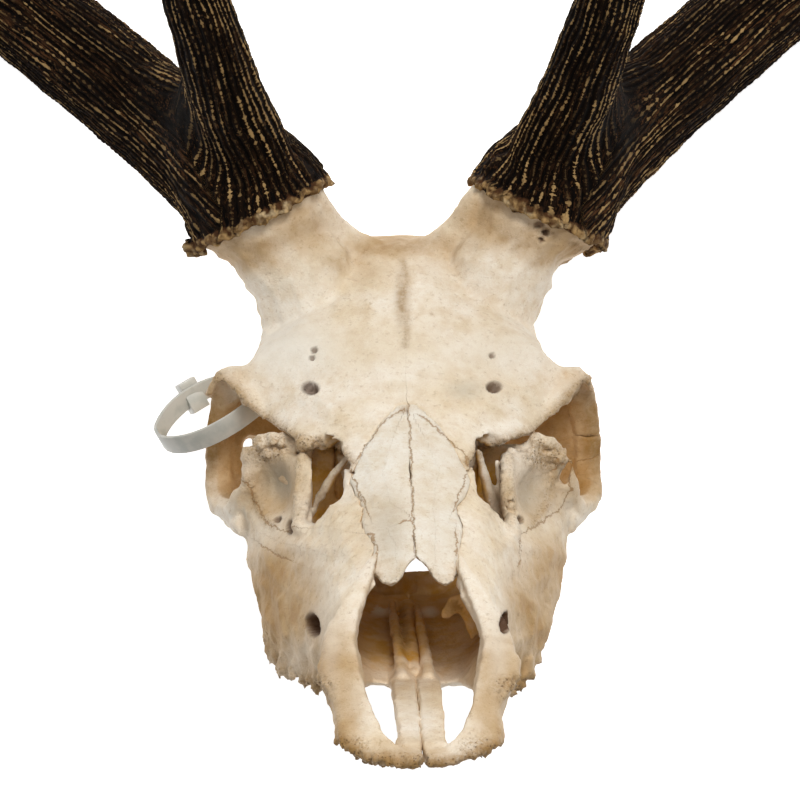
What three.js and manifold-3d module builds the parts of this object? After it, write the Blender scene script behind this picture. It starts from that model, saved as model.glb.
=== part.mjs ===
// Red deer stag skull with its antlers, lying on its back with the face up.
// Skull frame while modelling: +X to the animal's left, +Y from the nose to the nape, +Z dorsal.
// The group at the end turns it to the way it rests.
import * as THREE from 'three';
import Module from 'manifold-3d';
import { ParametricGeometry } from 'three/addons/geometries/ParametricGeometry.js';
import { mergeVertices } from 'three/addons/utils/BufferGeometryUtils.js';

const wasm = await Module();
wasm.setup();

const GAP = 0.3;
const HALF_GAP = GAP / 2;
const SHORT_EDGE = 0.4;
const THIN_FACE = 0.03;
const REST_TILT = 70.763;
const REST_HEIGHT = 363.7;
const REST_CENTRE_Y = 507.75;

// Face, along the muzzle
const NASAL_NOTCH_Y = 95;
const NASION_Y = 210;
const MUZZLE_START = 62;
const MUZZLE_END = 232;
const PALATE_EDGE_Y = 98;
const SHELL = 4;
const CHOANA_HALF = 16;

// Orbit
const ORBIT_RIM = 5.2;
const ARCH_RADIUS = 5.5;

// Braincase
const CRANIUM_START = 268;
const CRANIUM_END = 402;
const CONDYLE = { x: 17, y: 384, z: 37, r: 14 };

// Antlers
const BURR = { x: 59.3, y: 311, z: 154, radius: 35.5, thickness: 13 };
const BURR_NORMAL = new THREE.Vector3(0.44, 0.18, 0.88).normalize();
const PEDICLE_RADIUS = 26;
const BEAM_RADIUS = 24;
const TINE_SIDES = 11;
const TUBE_STEP = 36;

// Tag loop
const STRAP_WIDTH = 9.2;
const STRAP_THICK = 1.4;
const HEAD_SIZE = { length: 8, depth: 6.4, height: 14 };

const bone = (color) => new THREE.MeshStandardMaterial({ color, roughness: 0.62, metalness: 0 });
const cream = 0xe9dcc2;
const paleCream = 0xf2ece0;
const tan = 0xd9c6a3;

// Smooth value along a row of stations
function track(keys, values) {
  const last = keys.length - 1;
  const slope = keys.map((k, i) => {
    const a = Math.max(i - 1, 0);
    const b = Math.min(i + 1, last);
    return (values[b] - values[a]) / (keys[b] - keys[a]);
  });
  return (t) => {
    const c = Math.min(Math.max(t, keys[0]), keys[last]);
    let i = 0;
    while (i < last - 1 && c > keys[i + 1]) i += 1;
    const h = keys[i + 1] - keys[i];
    const s = (c - keys[i]) / h;
    const s2 = s * s;
    const s3 = s2 * s;
    return (2 * s3 - 3 * s2 + 1) * values[i] + (s3 - 2 * s2 + s) * h * slope[i]
      + (3 * s2 - 2 * s3) * values[i + 1] + (s3 - s2) * h * slope[i + 1];
  };
}

// Closed geometry to a solid, with its faces turned outwards
function solid(geometry) {
  const g = geometry.clone();
  g.deleteAttribute('normal');
  g.deleteAttribute('uv');
  const merged = mergeVertices(g, 1e-4);
  const vertProperties = Float32Array.from(merged.attributes.position.array);
  const index = merged.index.array;
  const tris = [];
  for (let i = 0; i < index.length; i += 3) {
    const [a, b, c] = [index[i], index[i + 1], index[i + 2]];
    if (a !== b && b !== c && a !== c) tris.push(a, b, c);
  }
  const build = (list) => new wasm.Manifold(
    new wasm.Mesh({ numProp: 3, vertProperties, triVerts: Uint32Array.from(list) }));
  const made = build(tris);
  if (made.volume() > 0) return made;
  const turned = [];
  for (let i = 0; i < tris.length; i += 3) turned.push(tris[i], tris[i + 2], tris[i + 1]);
  return build(turned);
}

// Closed skin over a row of rings with the same number of points, capped at both ends
function loft(rings) {
  const n = rings[0].length;
  const centre = (ring) => ring.reduce((s, p) => s.add(p), new THREE.Vector3()).divideScalar(n);
  const first = centre(rings[0]);
  const last = centre(rings[rings.length - 1]);
  const rows = rings.length + 1;
  const skin = (u, v, target) => {
    const row = Math.round(v * rows);
    const i = ((Math.round(u * n) % n) + n) % n;
    if (row <= 0) return target.copy(first);
    if (row >= rows) return target.copy(last);
    return target.copy(rings[row - 1][i]);
  };
  return solid(new ParametricGeometry(skin, n, rows));
}

// Smooth closed ring across the skull from its right-hand half outline, given from top to bottom
function crossRing(y, half, points) {
  const left = half.map(([x, z]) => new THREE.Vector3(x, y, z));
  const right = half.slice(1, -1).reverse().map(([x, z]) => new THREE.Vector3(-x, y, z));
  const curve = new THREE.CatmullRomCurve3([...left, ...right], true, 'centripetal');
  return Array.from({ length: points }, (_, i) => curve.getPoint(i / points));
}

// Smooth closed ring on one side of the skull
function sideRing(y, outline, points) {
  const curve = new THREE.CatmullRomCurve3(
    outline.map(([x, z]) => new THREE.Vector3(x, y, z)), true, 'centripetal');
  return Array.from({ length: points }, (_, i) => curve.getPoint(i / points));
}

function stations(from, to, count) {
  return Array.from({ length: count }, (_, i) => from + (to - from) * i / (count - 1));
}

// Tapered tube along a curve; radius and flatness are functions of the place along it
function tube(curve, radius, { from = 0, to = 1, sides = TINE_SIDES, step = TUBE_STEP, flat = () => 1 } = {}) {
  const total = curve.getLength();
  const count = Math.max(3, Math.ceil(total * (to - from) / step) + 1);
  const frames = curve.computeFrenetFrames(200, false);
  const rings = stations(from, to, count).map((s) => {
    const k = Math.round(s * 200);
    const middle = curve.getPointAt(s);
    return Array.from({ length: sides }, (_, i) => {
      const a = 2 * Math.PI * i / sides;
      return middle.clone()
        .addScaledVector(frames.normals[k], Math.cos(a) * radius(s))
        .addScaledVector(frames.binormals[k], Math.sin(a) * radius(s) * flat(s));
    });
  });
  return loft(rings);
}

// Ring of a tube that closes on itself
function hoop(points, radiusA, radiusB, segments, sides, turn = 0) {
  const curve = new THREE.CatmullRomCurve3(points, true, 'centripetal');
  const centre = points.reduce((s, p) => s.add(p), new THREE.Vector3()).divideScalar(points.length);
  const skin = (u, v, target) => {
    const s = (((Math.round(u * segments) % segments) + segments) % segments) / segments;
    const a = turn + 2 * Math.PI * ((((Math.round(v * sides) % sides) + sides) % sides) / sides);
    const middle = curve.getPoint(s);
    const tangent = curve.getTangent(s);
    const outward = middle.clone().sub(centre);
    outward.addScaledVector(tangent, -outward.dot(tangent)).normalize();
    const across = new THREE.Vector3().crossVectors(tangent, outward);
    target.copy(middle).addScaledVector(outward, Math.cos(a) * radiusA).addScaledVector(across, Math.sin(a) * radiusB);
  };
  return solid(new ParametricGeometry(skin, segments, sides));
}

function ellipsoid(x, y, z, rx, ry, rz, detail = 12) {
  const g = new THREE.SphereGeometry(1, detail, Math.round(detail * 0.6));
  g.scale(rx, ry, rz);
  g.translate(x, y, z);
  return solid(g);
}

// Straight prism of an outline: 'z' takes (x, y) points, 'x' takes (y, z) points
function prism(axis, outline, from, to) {
  const shape = new THREE.Shape(outline.map(([a, b]) => new THREE.Vector2(a, b)));
  const g = new THREE.ExtrudeGeometry(shape, { depth: to - from, bevelEnabled: false });
  g.translate(0, 0, from);
  if (axis === 'x') g.applyMatrix4(new THREE.Matrix4().set(0, 0, 1, 0, 1, 0, 0, 0, 0, 1, 0, 0, 0, 0, 0, 1));
  return solid(g);
}

// Outline moved outwards by d
function grown(outline, d) {
  const n = outline.length;
  const area = outline.reduce((s, p, i) => {
    const q = outline[(i + 1) % n];
    return s + p[0] * q[1] - q[0] * p[1];
  }, 0);
  const sign = Math.sign(area);
  return outline.map((p, i) => {
    const before = outline[(i + n - 1) % n];
    const after = outline[(i + 1) % n];
    const e1 = new THREE.Vector2(p[0] - before[0], p[1] - before[1]).normalize();
    const e2 = new THREE.Vector2(after[0] - p[0], after[1] - p[1]).normalize();
    const n1 = new THREE.Vector2(e1.y * sign, -e1.x * sign);
    const n2 = new THREE.Vector2(e2.y * sign, -e2.x * sign);
    const m = n1.clone().add(n2).normalize();
    const scale = d / Math.max(m.dot(n1), 0.4);
    return [p[0] + m.x * scale, p[1] + m.y * scale];
  });
}

const mirrored = (shape) => shape.mirror([1, 0, 0]);
const both = (shape) => shape.add(mirrored(shape));

// Muzzle: outer skin
const yKeys = [62, 86, 105, 128, 150, 170, 190, 208, 225, 232];
const face = {
  roofZ: track(yKeys, [60, 67.5, 72.5, 78.5, 84.5, 89.5, 95, 99, 106, 108]),
  nasalX: track(yKeys, [14, 14, 16.5, 20, 24, 24.5, 32, 45, 56, 60]),
  nasalZ: track(yKeys, [56, 64, 69.5, 75, 79.5, 82, 83.5, 84, 85, 87]),
  wallX: track(yKeys, [29, 28, 29, 33, 39, 43, 45, 50, 64, 67]),
  wallZ: track(yKeys, [50, 57, 60, 60, 59, 60, 66, 68, 68, 66]),
  cheekX: track(yKeys, [33.5, 33.5, 36, 42.5, 51, 58.5, 63.5, 65.5, 69, 70]),
  cheekZ: track(yKeys, [40, 41, 40, 36, 32, 30, 33, 38, 42, 44]),
  gumX: track(yKeys, [30.5, 29.5, 31, 39, 48, 54.5, 57, 58.5, 58, 56]),
  gumZ: track(yKeys, [24, 20, 16, 9, 5, 4, 5, 7, 14, 20]),
  innerX: track(yKeys, [22, 21, 21, 28, 33, 36, 37, 38, 38, 38]),
  innerZ: track(yKeys, [21, 16, 13, 8, 6, 6, 7, 9, 16, 22]),
  palateZ: track(yKeys, [22, 18, 16.5, 15, 15, 16, 17, 18.5, 20, 22]),
};

const muzzleRing = (y) => crossRing(y, [
  [0, face.roofZ(y)], [face.nasalX(y) * 0.55, face.roofZ(y) - 1.6],
  [face.nasalX(y), face.nasalZ(y)], [face.wallX(y), face.wallZ(y)],
  [face.cheekX(y), face.cheekZ(y)], [face.gumX(y), face.gumZ(y)],
  [face.innerX(y), face.innerZ(y)], [face.innerX(y) * 0.75, face.palateZ(y) - 1], [0, face.palateZ(y)],
], 26);

const cavityRing = (y) => {
  const s = Math.max(y, MUZZLE_START);
  return crossRing(y, [
    [0, face.roofZ(s) - SHELL], [face.nasalX(s) - SHELL, face.nasalZ(s) - SHELL],
    [face.wallX(s) - SHELL - 0.5, face.wallZ(s) - 2],
    [Math.min(face.cheekX(s) - 7, 36), face.cheekZ(s)],
    [Math.min(face.innerX(s) - 1, 27), face.palateZ(s) + 9], [14, face.palateZ(s) + SHELL],
    [0, face.palateZ(s) + SHELL],
  ], 18);
};

let head = loft(stations(MUZZLE_START, MUZZLE_END, 11).map(muzzleRing));
head = head.subtract(loft([45, ...stations(MUZZLE_START, 222, 7)].map(cavityRing)));

// Front of the nasal opening and the two palatine fissures
const apertureHalf = [[24, 40], [24.5, 62], [22, 76], [17, 86], [15, 89], [12.5, 85], [8.5, 85.5], [6, 92]];
const apertureOutline = [...apertureHalf, [0, NASAL_NOTCH_Y],
  ...apertureHalf.map(([x, y]) => [-x, y]).reverse()];
head = head.subtract(prism('z', apertureOutline, 30, 110));
head = head.subtract(prism('z', [[-22, 40], [22, 40], [21, 80], [17, PALATE_EDGE_Y], [-17, PALATE_EDGE_Y],
  [-21, 80]], -10, 40));

// Premaxilla: outer bar with the nasal process, then the bar beside the midline
const pKeys = [1.5, 5, 15, 32, 52, 70, 85, 101];
const premax = {
  topX: track(pKeys, [2, 5, 14.5, 21.5, 24, 23.5, 19, 14.2]),
  topZ: track(pKeys, [26.6, 28.6, 33.5, 42, 52.3, 59, 67, 76]),
  outX: track(pKeys, [10, 20, 31, 35.3, 38, 34.6, 26.7, 17.6]),
  outZ: track(pKeys, [25.8, 27.4, 30.6, 38.2, 46.8, 56, 64, 73]),
  lowX: track(pKeys, [10, 19, 29, 33, 35.5, 33.5, 26.5, 17.4]),
  lowZ: track(pKeys, [24.4, 23.8, 23.4, 25, 29, 38, 54, 69.5]),
  inX: track(pKeys, [2, 4, 13, 20, 24.5, 26, 22, 14.6]),
  inZ: track(pKeys, [24.4, 23.6, 23.2, 24.5, 28.5, 40, 58, 71]),
};
const premaxRing = (y) => sideRing(y, [
  [premax.topX(y), premax.topZ(y)],
  [(premax.topX(y) + premax.outX(y)) / 2, (premax.topZ(y) + premax.outZ(y)) / 2 + 1.2],
  [premax.outX(y), premax.outZ(y)], [premax.lowX(y), premax.lowZ(y)],
  [premax.inX(y), premax.inZ(y)],
], 14);
const premaxBar = loft([1.5, 4, 9, 15, 24, 33, 43, 53, 63, 72, 82, 91, 101].map(premaxRing));
const bodyPlate = prism('z', [[0.4, 2.5], [8, 3], [17, 5], [21, 10], [15, 13], [9.4, 15], [0.4, 15]], 23.6, 29);
const barZ = track([8, 30, 70, 92, 118], [28.8, 28.6, 27, 23.5, 20]);
const medialBar = loft([8, 24, 40, 56, 72, 84, 94, 106, 118].map((y) => sideRing(y, [
  [0.4, barZ(y)], [4.6, barZ(y) + 0.9], [9.2, barZ(y)], [9.2, barZ(y) - 4], [0.4, barZ(y) - 4]], 12)));
head = head.add(both(premaxBar)).add(both(bodyPlate)).add(both(medialBar));

// Forehead with the roofs of the orbits
const fKeys = [172, 190, 212, 236, 250, 262, 273, 285, 300, 312];
const brow = {
  midZ: track(fKeys, [90, 95.2, 101.2, 113.8, 121.5, 128, 133.5, 138.6, 143.6, 144]),
  edgeX: track(fKeys, [23.5, 33, 48.5, 61, 75.5, 72, 64, 59, 54, 50]),
  edgeZ: track(fKeys, [84.2, 86, 86.5, 89.5, 100.5, 101, 103, 109, 117, 121]),
  core: track(fKeys, [8, 9, 12, 16, 20, 26, 34, 40, 44, 44]),
};
const browRing = (y) => {
  const w = brow.edgeX(y);
  const drop = brow.midZ(y) - brow.edgeZ(y);
  const top = (s) => brow.midZ(y) - drop * s ** 2.1;
  return crossRing(y, [
    [0, top(0)], [w * 0.3, top(0.3)], [w * 0.58, top(0.58)], [w * 0.82, top(0.82)], [w, top(1)],
    [w - 0.6, top(1) - 4.4], [w * 0.82, top(0.82) - 5], [w * 0.58, top(0.58) - 6.5],
    [w * 0.3, top(0.3) - brow.core(y) * 0.8], [0, top(0) - brow.core(y)],
  ], 26);
};
head = head.add(loft([172, 184, 198, 212, 225, 236, 243, 250, 256, 264, 274, 286, 300, 312].map(browRing)));

// Wall between the orbits, running back into the braincase
const cKeys = [209.6, 232, 252, 272, 292];
const core = {
  x: track(cKeys, [30, 23, 20, 26, 38]),
  lowX: track(cKeys, [20, 17, 15, 16, 18]),
  topZ: track(cKeys, [92, 98, 104, 112, 122]),
  lowZ: track(cKeys, [40, 44, 47, 50, 50]),
};
head = head.add(loft(stations(209.6, 300, 6).map((y) => crossRing(y, [
  [0, core.topZ(y)], [core.x(y), core.topZ(y) - 8], [core.x(y) - 1, 78],
  [core.lowX(y), core.lowZ(y) + 8], [0, core.lowZ(y)]], 14))));

// Braincase back to the nuchal crest
const bKeys = [268, 290, 310, 330, 352, 375, 392, 402];
const brain = {
  topZ: track(bKeys, [120, 135, 142, 139, 131, 120, 109, 101]),
  sideX: track(bKeys, [30, 42, 49, 51, 50, 48, 44, 34]),
  sideZ: track(bKeys, [92, 98, 99, 94, 86, 78, 72, 74]),
  lowX: track(bKeys, [17, 20, 25, 33, 36, 34, 28, 20]),
  lowZ: track(bKeys, [52, 50, 52, 54, 52, 46, 44, 52]),
};
head = head.add(loft(stations(CRANIUM_START, CRANIUM_END, 9).map((y) => crossRing(y, [
  [0, brain.topZ(y)], [brain.sideX(y) * 0.62, brain.topZ(y) - 6], [brain.sideX(y), brain.sideZ(y)],
  [brain.lowX(y), brain.lowZ(y)], [0, brain.lowZ(y) - 6]], 20))));

// Nuchal crest, base of the skull, bullae, paroccipital processes and condyles
const crestCurve = new THREE.CatmullRomCurve3([[-47, 378, 62], [-44, 390, 86], [-22, 399, 103], [0, 402, 106],
  [22, 399, 103], [44, 390, 86], [47, 378, 62]].map((p) => new THREE.Vector3(...p)));
head = head.add(tube(crestCurve, () => 5, { sides: 6, step: 20 }));
head = head.add(loft([262, 300, 340, 384].map((y, i) => crossRing(y, [
  [0, 54], [12 + i, 50], [10 + i * 1.5, 43 - i], [0, 40 - i * 2]], 12))));
head = head.add(both(ellipsoid(27, 338, 44, 11, 17, 13, 9)));
const processCurve = new THREE.CatmullRomCurve3([[40, 366, 62], [39, 366, 36], [35, 360, 10]]
  .map((p) => new THREE.Vector3(...p)));
head = head.add(both(tube(processCurve, (s) => 9 - 5 * s, { sides: 6, step: 18 })));
head = head.add(both(ellipsoid(CONDYLE.x, CONDYLE.y, CONDYLE.z, 12, CONDYLE.r, CONDYLE.r, 12)));
const magnum = new THREE.CylinderGeometry(9.5, 9.5, 40, 10);
magnum.translate(0, 392, 50);
head = head.subtract(solid(magnum));

// Pterygoid plates beside the choanae
head = head.add(both(loft([212, 232, 256, 284].map((y, i) => sideRing(y, [
  [CHOANA_HALF, 56], [CHOANA_HALF + 4, 54], [CHOANA_HALF + 3, 26 + i * 4], [CHOANA_HALF, 24 + i * 4]], 8)))));
head = head.subtract(loft([196, 222, 262].map((y) => crossRing(y, [
  [0, 44], [CHOANA_HALF - 4, 42], [CHOANA_HALF - 0.5, 34], [CHOANA_HALF - 0.5, 20], [0, 19]], 14))));
head = head.subtract(prism('z', [[-15.4, 217], [15.4, 217], [15.4, 293], [-15.4, 293]], 0, 38.6));

// Rim of the orbit, and the arch behind it
const rimPoints = [[73, 249, 97], [62, 237, 87], [62, 228, 76], [66, 226, 60], [70, 233, 47],
  [78, 250, 44], [79, 262, 54], [78.5, 264, 70], [75.5, 261, 87]].map((p) => new THREE.Vector3(...p));
head = head.add(both(hoop(rimPoints, ORBIT_RIM, 6.5, 24, 7)));
const archCurve = new THREE.CatmullRomCurve3([[68, 226, 42], [77, 250, 43], [78, 274, 47], [73, 298, 53],
  [60, 316, 58], [40, 326, 62]].map((p) => new THREE.Vector3(...p)));
head = head.add(both(tube(archCurve, (s) => ARCH_RADIUS + 3 * s * s, { sides: 8, step: 16, flat: () => 0.8 })));
head = head.add(both(ellipsoid(52, 322, 60, 14, 14, 8, 8)));

// Cheek teeth, three premolars and three molars a side, their roots sunk in the jaw
const teeth = [[129, 37, 12], [142, 43.5, 12.5], [155.5, 48.5, 13], [171, 51.5, 17], [190, 53, 19], [210, 53.5, 19]];
for (const [y, x, length] of teeth) {
  const crown = (z, k) => Array.from({ length: 8 }, (_, i) => {
    const a = 2 * Math.PI * i / 8;
    return new THREE.Vector3(x - 1.5 + Math.cos(a) * 8.2 * k, y + Math.sin(a) * length * 0.5 * k, z);
  });
  head = head.add(both(loft([crown(14, 0.8), crown(5, 1), crown(0.5, 0.92)])));
}

// Opening between nasal, frontal and lacrimal on each side
const vacuity = [[165, 62], [163, 80], [180, 90], [203, 90], [206, 78], [196, 68], [180, 60]];
head = head.subtract(both(prism('x', vacuity, 25, 50).intersect(
  prism('z', [[28, 160], [44, 162], [45, 176], [40, 190], [40, 208], [28, 206], [26, 180]], 50, 100))));

// Pedicles
const normalPoint = (d, r, c = BURR) => {
  const n = BURR_NORMAL;
  const side = new THREE.Vector3(1, 0, 0).addScaledVector(n, -n.x).normalize();
  const back = new THREE.Vector3().crossVectors(n, side);
  return Array.from({ length: 14 }, (_, i) => {
    const a = 2 * Math.PI * i / 14;
    return new THREE.Vector3(c.x, c.y, c.z).addScaledVector(n, d)
      .addScaledVector(side, Math.cos(a) * r).addScaledVector(back, Math.sin(a) * r);
  });
};
const halfBurr = BURR.thickness / 2;
const pedicle = loft([
  normalPoint(0, 23, { x: 33, y: 290, z: 108 }), normalPoint(0, 22.5, { x: 42, y: 298, z: 131 }),
  normalPoint(-halfBurr - 9, PEDICLE_RADIUS - 1), normalPoint(-halfBurr - GAP, PEDICLE_RADIUS + 1.5),
]);
head = head.add(both(pedicle));

// Parting the skull into its bones
const side = (shape, s) => shape.intersect(prism('z',
  [[s * HALF_GAP, -50], [s * 200, -50], [s * 200, 500], [s * HALF_GAP, 500]], -100, 300));
const bones = {};
let rest = head;
function take(name, axis, outline, from, to, twoSided = true) {
  const inner = prism(axis, outline, from, to);
  const outer = prism(axis, grown(outline, GAP), from - GAP, to + GAP);
  const piece = rest.intersect(twoSided ? both(inner) : inner);
  rest = rest.subtract(twoSided ? both(outer) : outer);
  bones[`${name}_left`] = side(piece, 1);
  bones[`${name}_right`] = side(piece, -1);
}
take('premaxilla', 'x', [[-10, 0], [62, 0], [64, 34], [74, 47], [90, 61], [104, 76], [96, 80], [60, 70], [-10, 60]], -0.5, 60);
take('nasal', 'z', [[-1, 60], [15.2, 60], [16.2, 104], [19.5, 128], [23.5, 150], [24, 168], [17, 186], [10, 200], [4, 209],
  [-1, NASION_Y]], 52, 120);
take('frontal', 'x', [[168, 84], [196, 79], [222, 78], [236, 74], [244, 80], [250, 69], [276, 69], [284, 92], [300, 112],
  [316, 126], [330, 190], [200, 190], [160, 110]], -1, 140);
take('lacrimal', 'x', [[178, 48], [205, 46], [222, 52], [234, 58], [236, 73.7], [222, 77.7], [196, 78.7], [176, 70]], 30, 90);
take('zygomatic', 'x', [[196, 20], [240, 30], [300, 38], [306, 64], [278, 68.7], [238, 68.7], [234.3, 57.7],
  [222.3, 51.7], [205.2, 45.7]], 56, 95);
take('maxilla', 'x', [[40, -20], [236, -20], [236, 53.4], [215.7, 55.3], [215.7, 90], [40, 90]], -1, 90);
bones.braincase = rest.subtract(prism('z', [[-100, 0], [100, 0], [100, 216], [-100, 216]], -50, 300));

// Antlers, all on the animal's left; the right one is its mirror image
const path = (...points) => new THREE.CatmullRomCurve3(points.map((p) => new THREE.Vector3(...p)));
const beamPath = path([61, 314, 156], [90, 336, 178], [141, 380, 210], [211, 430, 256], [286, 472, 319], [341, 500, 392],
  [372, 513, 474], [382, 512, 562], [372, 498, 650], [352, 476, 728]);
const beamLength = beamPath.getLength();
const beamRadius = (s) => BEAM_RADIUS - 7.5 * s + 3 * Math.max(0, 1 - s * 14) + 3 * Math.max(0, s - 0.9) * 10;
const forkTrez = 0.5;
const cutAt = GAP / beamLength;
const antler = {};
const tineRadius = (base, tip) => (s) => tip + (base - tip) * (1 - s ** 1.6);
const burrGeometry = new THREE.LatheGeometry([[0, -1], [0.72, -1], [0.97, -0.55], [1, 0.1], [0.94, 0.7], [0.82, 1], [0, 1]]
  .map(([r, z]) => new THREE.Vector2(r * BURR.radius, z * halfBurr)), 20);
burrGeometry.applyQuaternion(new THREE.Quaternion().setFromUnitVectors(new THREE.Vector3(0, 1, 0), BURR_NORMAL));
burrGeometry.translate(BURR.x, BURR.y, BURR.z);
antler.burr = solid(burrGeometry);
const aboveBurr = loft([normalPoint(halfBurr + GAP, 60), normalPoint(halfBurr + 1200, 900)]);
const beam = (from, to, extra = 0) => tube(beamPath, (s) => beamRadius(s) + extra, { from, to });
const foot = (extra) => loft([
  normalPoint(halfBurr - 3, BURR.radius - 2.5 + extra), normalPoint(halfBurr + 9, 31 + extra),
  normalPoint(0, 26.5 + extra, { x: 76, y: 317, z: 181 }), normalPoint(2 * extra, 20 + extra, { x: 84, y: 318, z: 200 }),
]);
antler.beam_lower = beam(0, 0.3).add(foot(0)).intersect(aboveBurr);
antler.beam_middle = beam(0.3 + cutAt, forkTrez + 0.04);
antler.beam_upper = beam(forkTrez + 0.04 + cutAt, 1);
const tines = {
  brow_tine: [path([56, 302, 156], [64, 300, 186], [73.5, 287, 211], [79.5, 271, 236.5], [86, 254, 262], [92, 236, 290],
    [97, 216, 322], [100, 199, 358], [101, 187, 396]), 17.5, 3.5],
  trez_tine: [path([372, 513, 456], [358, 480, 468], [348, 446, 488], [342, 416, 518], [340, 398, 556], [340, 390, 596]), 14.5, 3],
  crown_front_tine: [path([354, 478, 718], [352, 448, 764], [344, 420, 806], [332, 400, 852]), 13, 3],
  crown_back_tine: [path([352, 476, 720], [336, 482, 776], [322, 488, 828], [312, 488, 880]), 13.5, 3],
  crown_outer_tine: [path([354, 474, 718], [376, 476, 768], [392, 478, 812], [398, 474, 858]), 12, 3],
};
const wholeBeam = beam(0, 1, GAP);
const crownFree = { crown_front_tine: [], crown_back_tine: ['crown_front_tine'],
  crown_outer_tine: ['crown_front_tine', 'crown_back_tine'] };
for (const [name, [curve, base, tip]] of Object.entries(tines)) {
  let tine = tube(curve, tineRadius(base, tip), { sides: 10 });
  tine = tine.subtract(wholeBeam);
  if (name === 'brow_tine') tine = tine.subtract(foot(2 * GAP));
  if (name === 'brow_tine') tine = tine.intersect(aboveBurr);
  for (const other of crownFree[name] ?? []) {
    const [otherCurve, otherBase, otherTip] = tines[other];
    tine = tine.subtract(tube(otherCurve, (s) => tineRadius(otherBase, otherTip)(s) + GAP, { sides: 10 }));
  }
  antler[name] = tine;
}

// Tag: a flat loop through the right orbit and round the bar behind it, with its locking head
const strapPoints = [[-62, 252, 87.5], [-70, 247, 82.5], [-78.2, 245, 77.9], [-86.7, 246, 73.6], [-95.3, 250, 70.2],
  [-102, 256, 68.8], [-104.5, 263, 70.5], [-101.5, 270, 75], [-95.8, 276, 79.5], [-89, 280, 83], [-81, 281.5, 86],
  [-71, 279, 88.5], [-63, 271, 90], [-59.5, 261, 89.5]].map((p) => new THREE.Vector3(...p));
const strapBand = (spare) => hoop(strapPoints, (STRAP_THICK / 2 + spare) * Math.SQRT2,
  (STRAP_WIDTH / 2 + spare) * Math.SQRT2, 36, 4, Math.PI / 4);
const headBox = new THREE.BoxGeometry(HEAD_SIZE.length, HEAD_SIZE.depth, HEAD_SIZE.height);
headBox.rotateX(-0.2);
headBox.rotateZ(0.46);
headBox.rotateY(-0.42);
headBox.translate(-90.5, 281, 82);
const tag = { tag_strap: strapBand(0), tag_head: solid(headBox).subtract(strapBand(GAP)) };

const group = new THREE.Group();
const pose = new THREE.Group();
group.add(pose);
pose.rotation.x = -REST_TILT * Math.PI / 180;
pose.position.set(0, -REST_CENTRE_Y, REST_HEIGHT);

// Everything stays above the surface it lies on
const below = new THREE.BoxGeometry(2000, 2000, 200);
below.translate(0, 0, -100);
pose.updateMatrix();
below.applyMatrix4(pose.matrix.clone().invert());
const floor = solid(below);

// Closes up the edges shorter than SHORT_EDGE that cutting leaves, keeping the skin closed
function closeShortEdges(vertices, triangles) {
  const points = Array.from({ length: vertices.length / 3 }, (_, i) => new THREE.Vector3().fromArray(vertices, i * 3));
  const tris = [];
  for (let i = 0; i < triangles.length; i += 3) tris.push([triangles[i], triangles[i + 1], triangles[i + 2]]);
  const around = points.map(() => new Set());
  tris.forEach((t, k) => t.forEach((v) => around[v].add(k)));
  const neighbours = (v) => {
    const found = new Set();
    for (const k of around[v]) for (const w of tris[k]) if (w !== v) found.add(w);
    return found;
  };
  const normal = (a, b, c) => new THREE.Vector3().crossVectors(b.clone().sub(a), c.clone().sub(a));
  const turnsOver = (v, gone, to) => [...around[v]].some((k) => {
    const t = tris[k];
    if (t.includes(gone)) return false;
    const before = normal(...t.map((w) => points[w]));
    const after = normal(...t.map((w) => (w === v ? to : points[w])));
    return before.length() > 0.02 && before.dot(after) < 0.2 * before.length() * after.length();
  });
  const shortEdges = () => {
    const list = [];
    tris.forEach((t) => t && t.forEach((a, i) => {
      const b = t[(i + 1) % 3];
      const d = points[a].distanceTo(points[b]);
      if (a < b && d < SHORT_EDGE) list.push([d, a, b]);
    }));
    return list.sort((p, q) => p[0] - q[0]);
  };
  for (let round = 0; round < 6; round += 1) {
    let closed = 0;
    for (const [, a, b] of shortEdges()) {
      const near = neighbours(a);
      if (!near.has(b) || points[a].distanceTo(points[b]) >= SHORT_EDGE) continue;
      if ([...neighbours(b)].filter((v) => near.has(v)).length !== 2) continue;
      const middle = points[a].clone().lerp(points[b], 0.5);
      if (turnsOver(a, b, middle) || turnsOver(b, a, middle)) continue;
      points[a].copy(middle);
      for (const k of [...around[b]]) {
        if (tris[k].includes(a)) {
          tris[k].forEach((v) => around[v].delete(k));
          tris[k] = null;
        } else {
          tris[k] = tris[k].map((v) => (v === b ? a : v));
          around[a].add(k);
        }
      }
      around[b].clear();
      closed += 1;
    }
    if (!closed) break;
  }
  return flattenThinFaces(points, tris.filter(Boolean));
}

// A face with no height gives its long edge to the face beside it
function flattenThinFaces(points, tris) {
  const key = (a, b) => a * points.length + b;
  for (let round = 0; round < 8; round += 1) {
    const owner = new Map();
    tris.forEach((t, k) => t.forEach((v, i) => owner.set(key(v, t[(i + 1) % 3]), k)));
    const busy = new Set();
    let turned = 0;
    tris.forEach((t, k) => {
      if (busy.has(k)) return;
      const lengths = t.map((v, i) => points[v].distanceTo(points[t[(i + 1) % 3]]));
      const i = lengths.indexOf(Math.max(...lengths));
      const [a, b, c] = [t[i], t[(i + 1) % 3], t[(i + 2) % 3]];
      const area = points[b].clone().sub(points[a]).cross(points[c].clone().sub(points[a])).length();
      if (area / lengths[i] > THIN_FACE) return;
      const other = owner.get(key(b, a));
      if (busy.has(other)) return;
      const d = tris[other].find((v) => v !== a && v !== b);
      if (owner.has(key(c, d)) || owner.has(key(d, c))) return;
      tris[k] = [a, d, c];
      tris[other] = [d, b, c];
      for (const q of [k, other]) busy.add(q);
      for (const [p, q] of [[c, d], [d, c]]) owner.set(key(p, q), k);
      turned += 1;
    });
    if (!turned) break;
  }
  const g = new THREE.BufferGeometry().setFromPoints(points);
  g.setIndex(tris.flat());
  return g;
}

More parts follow.
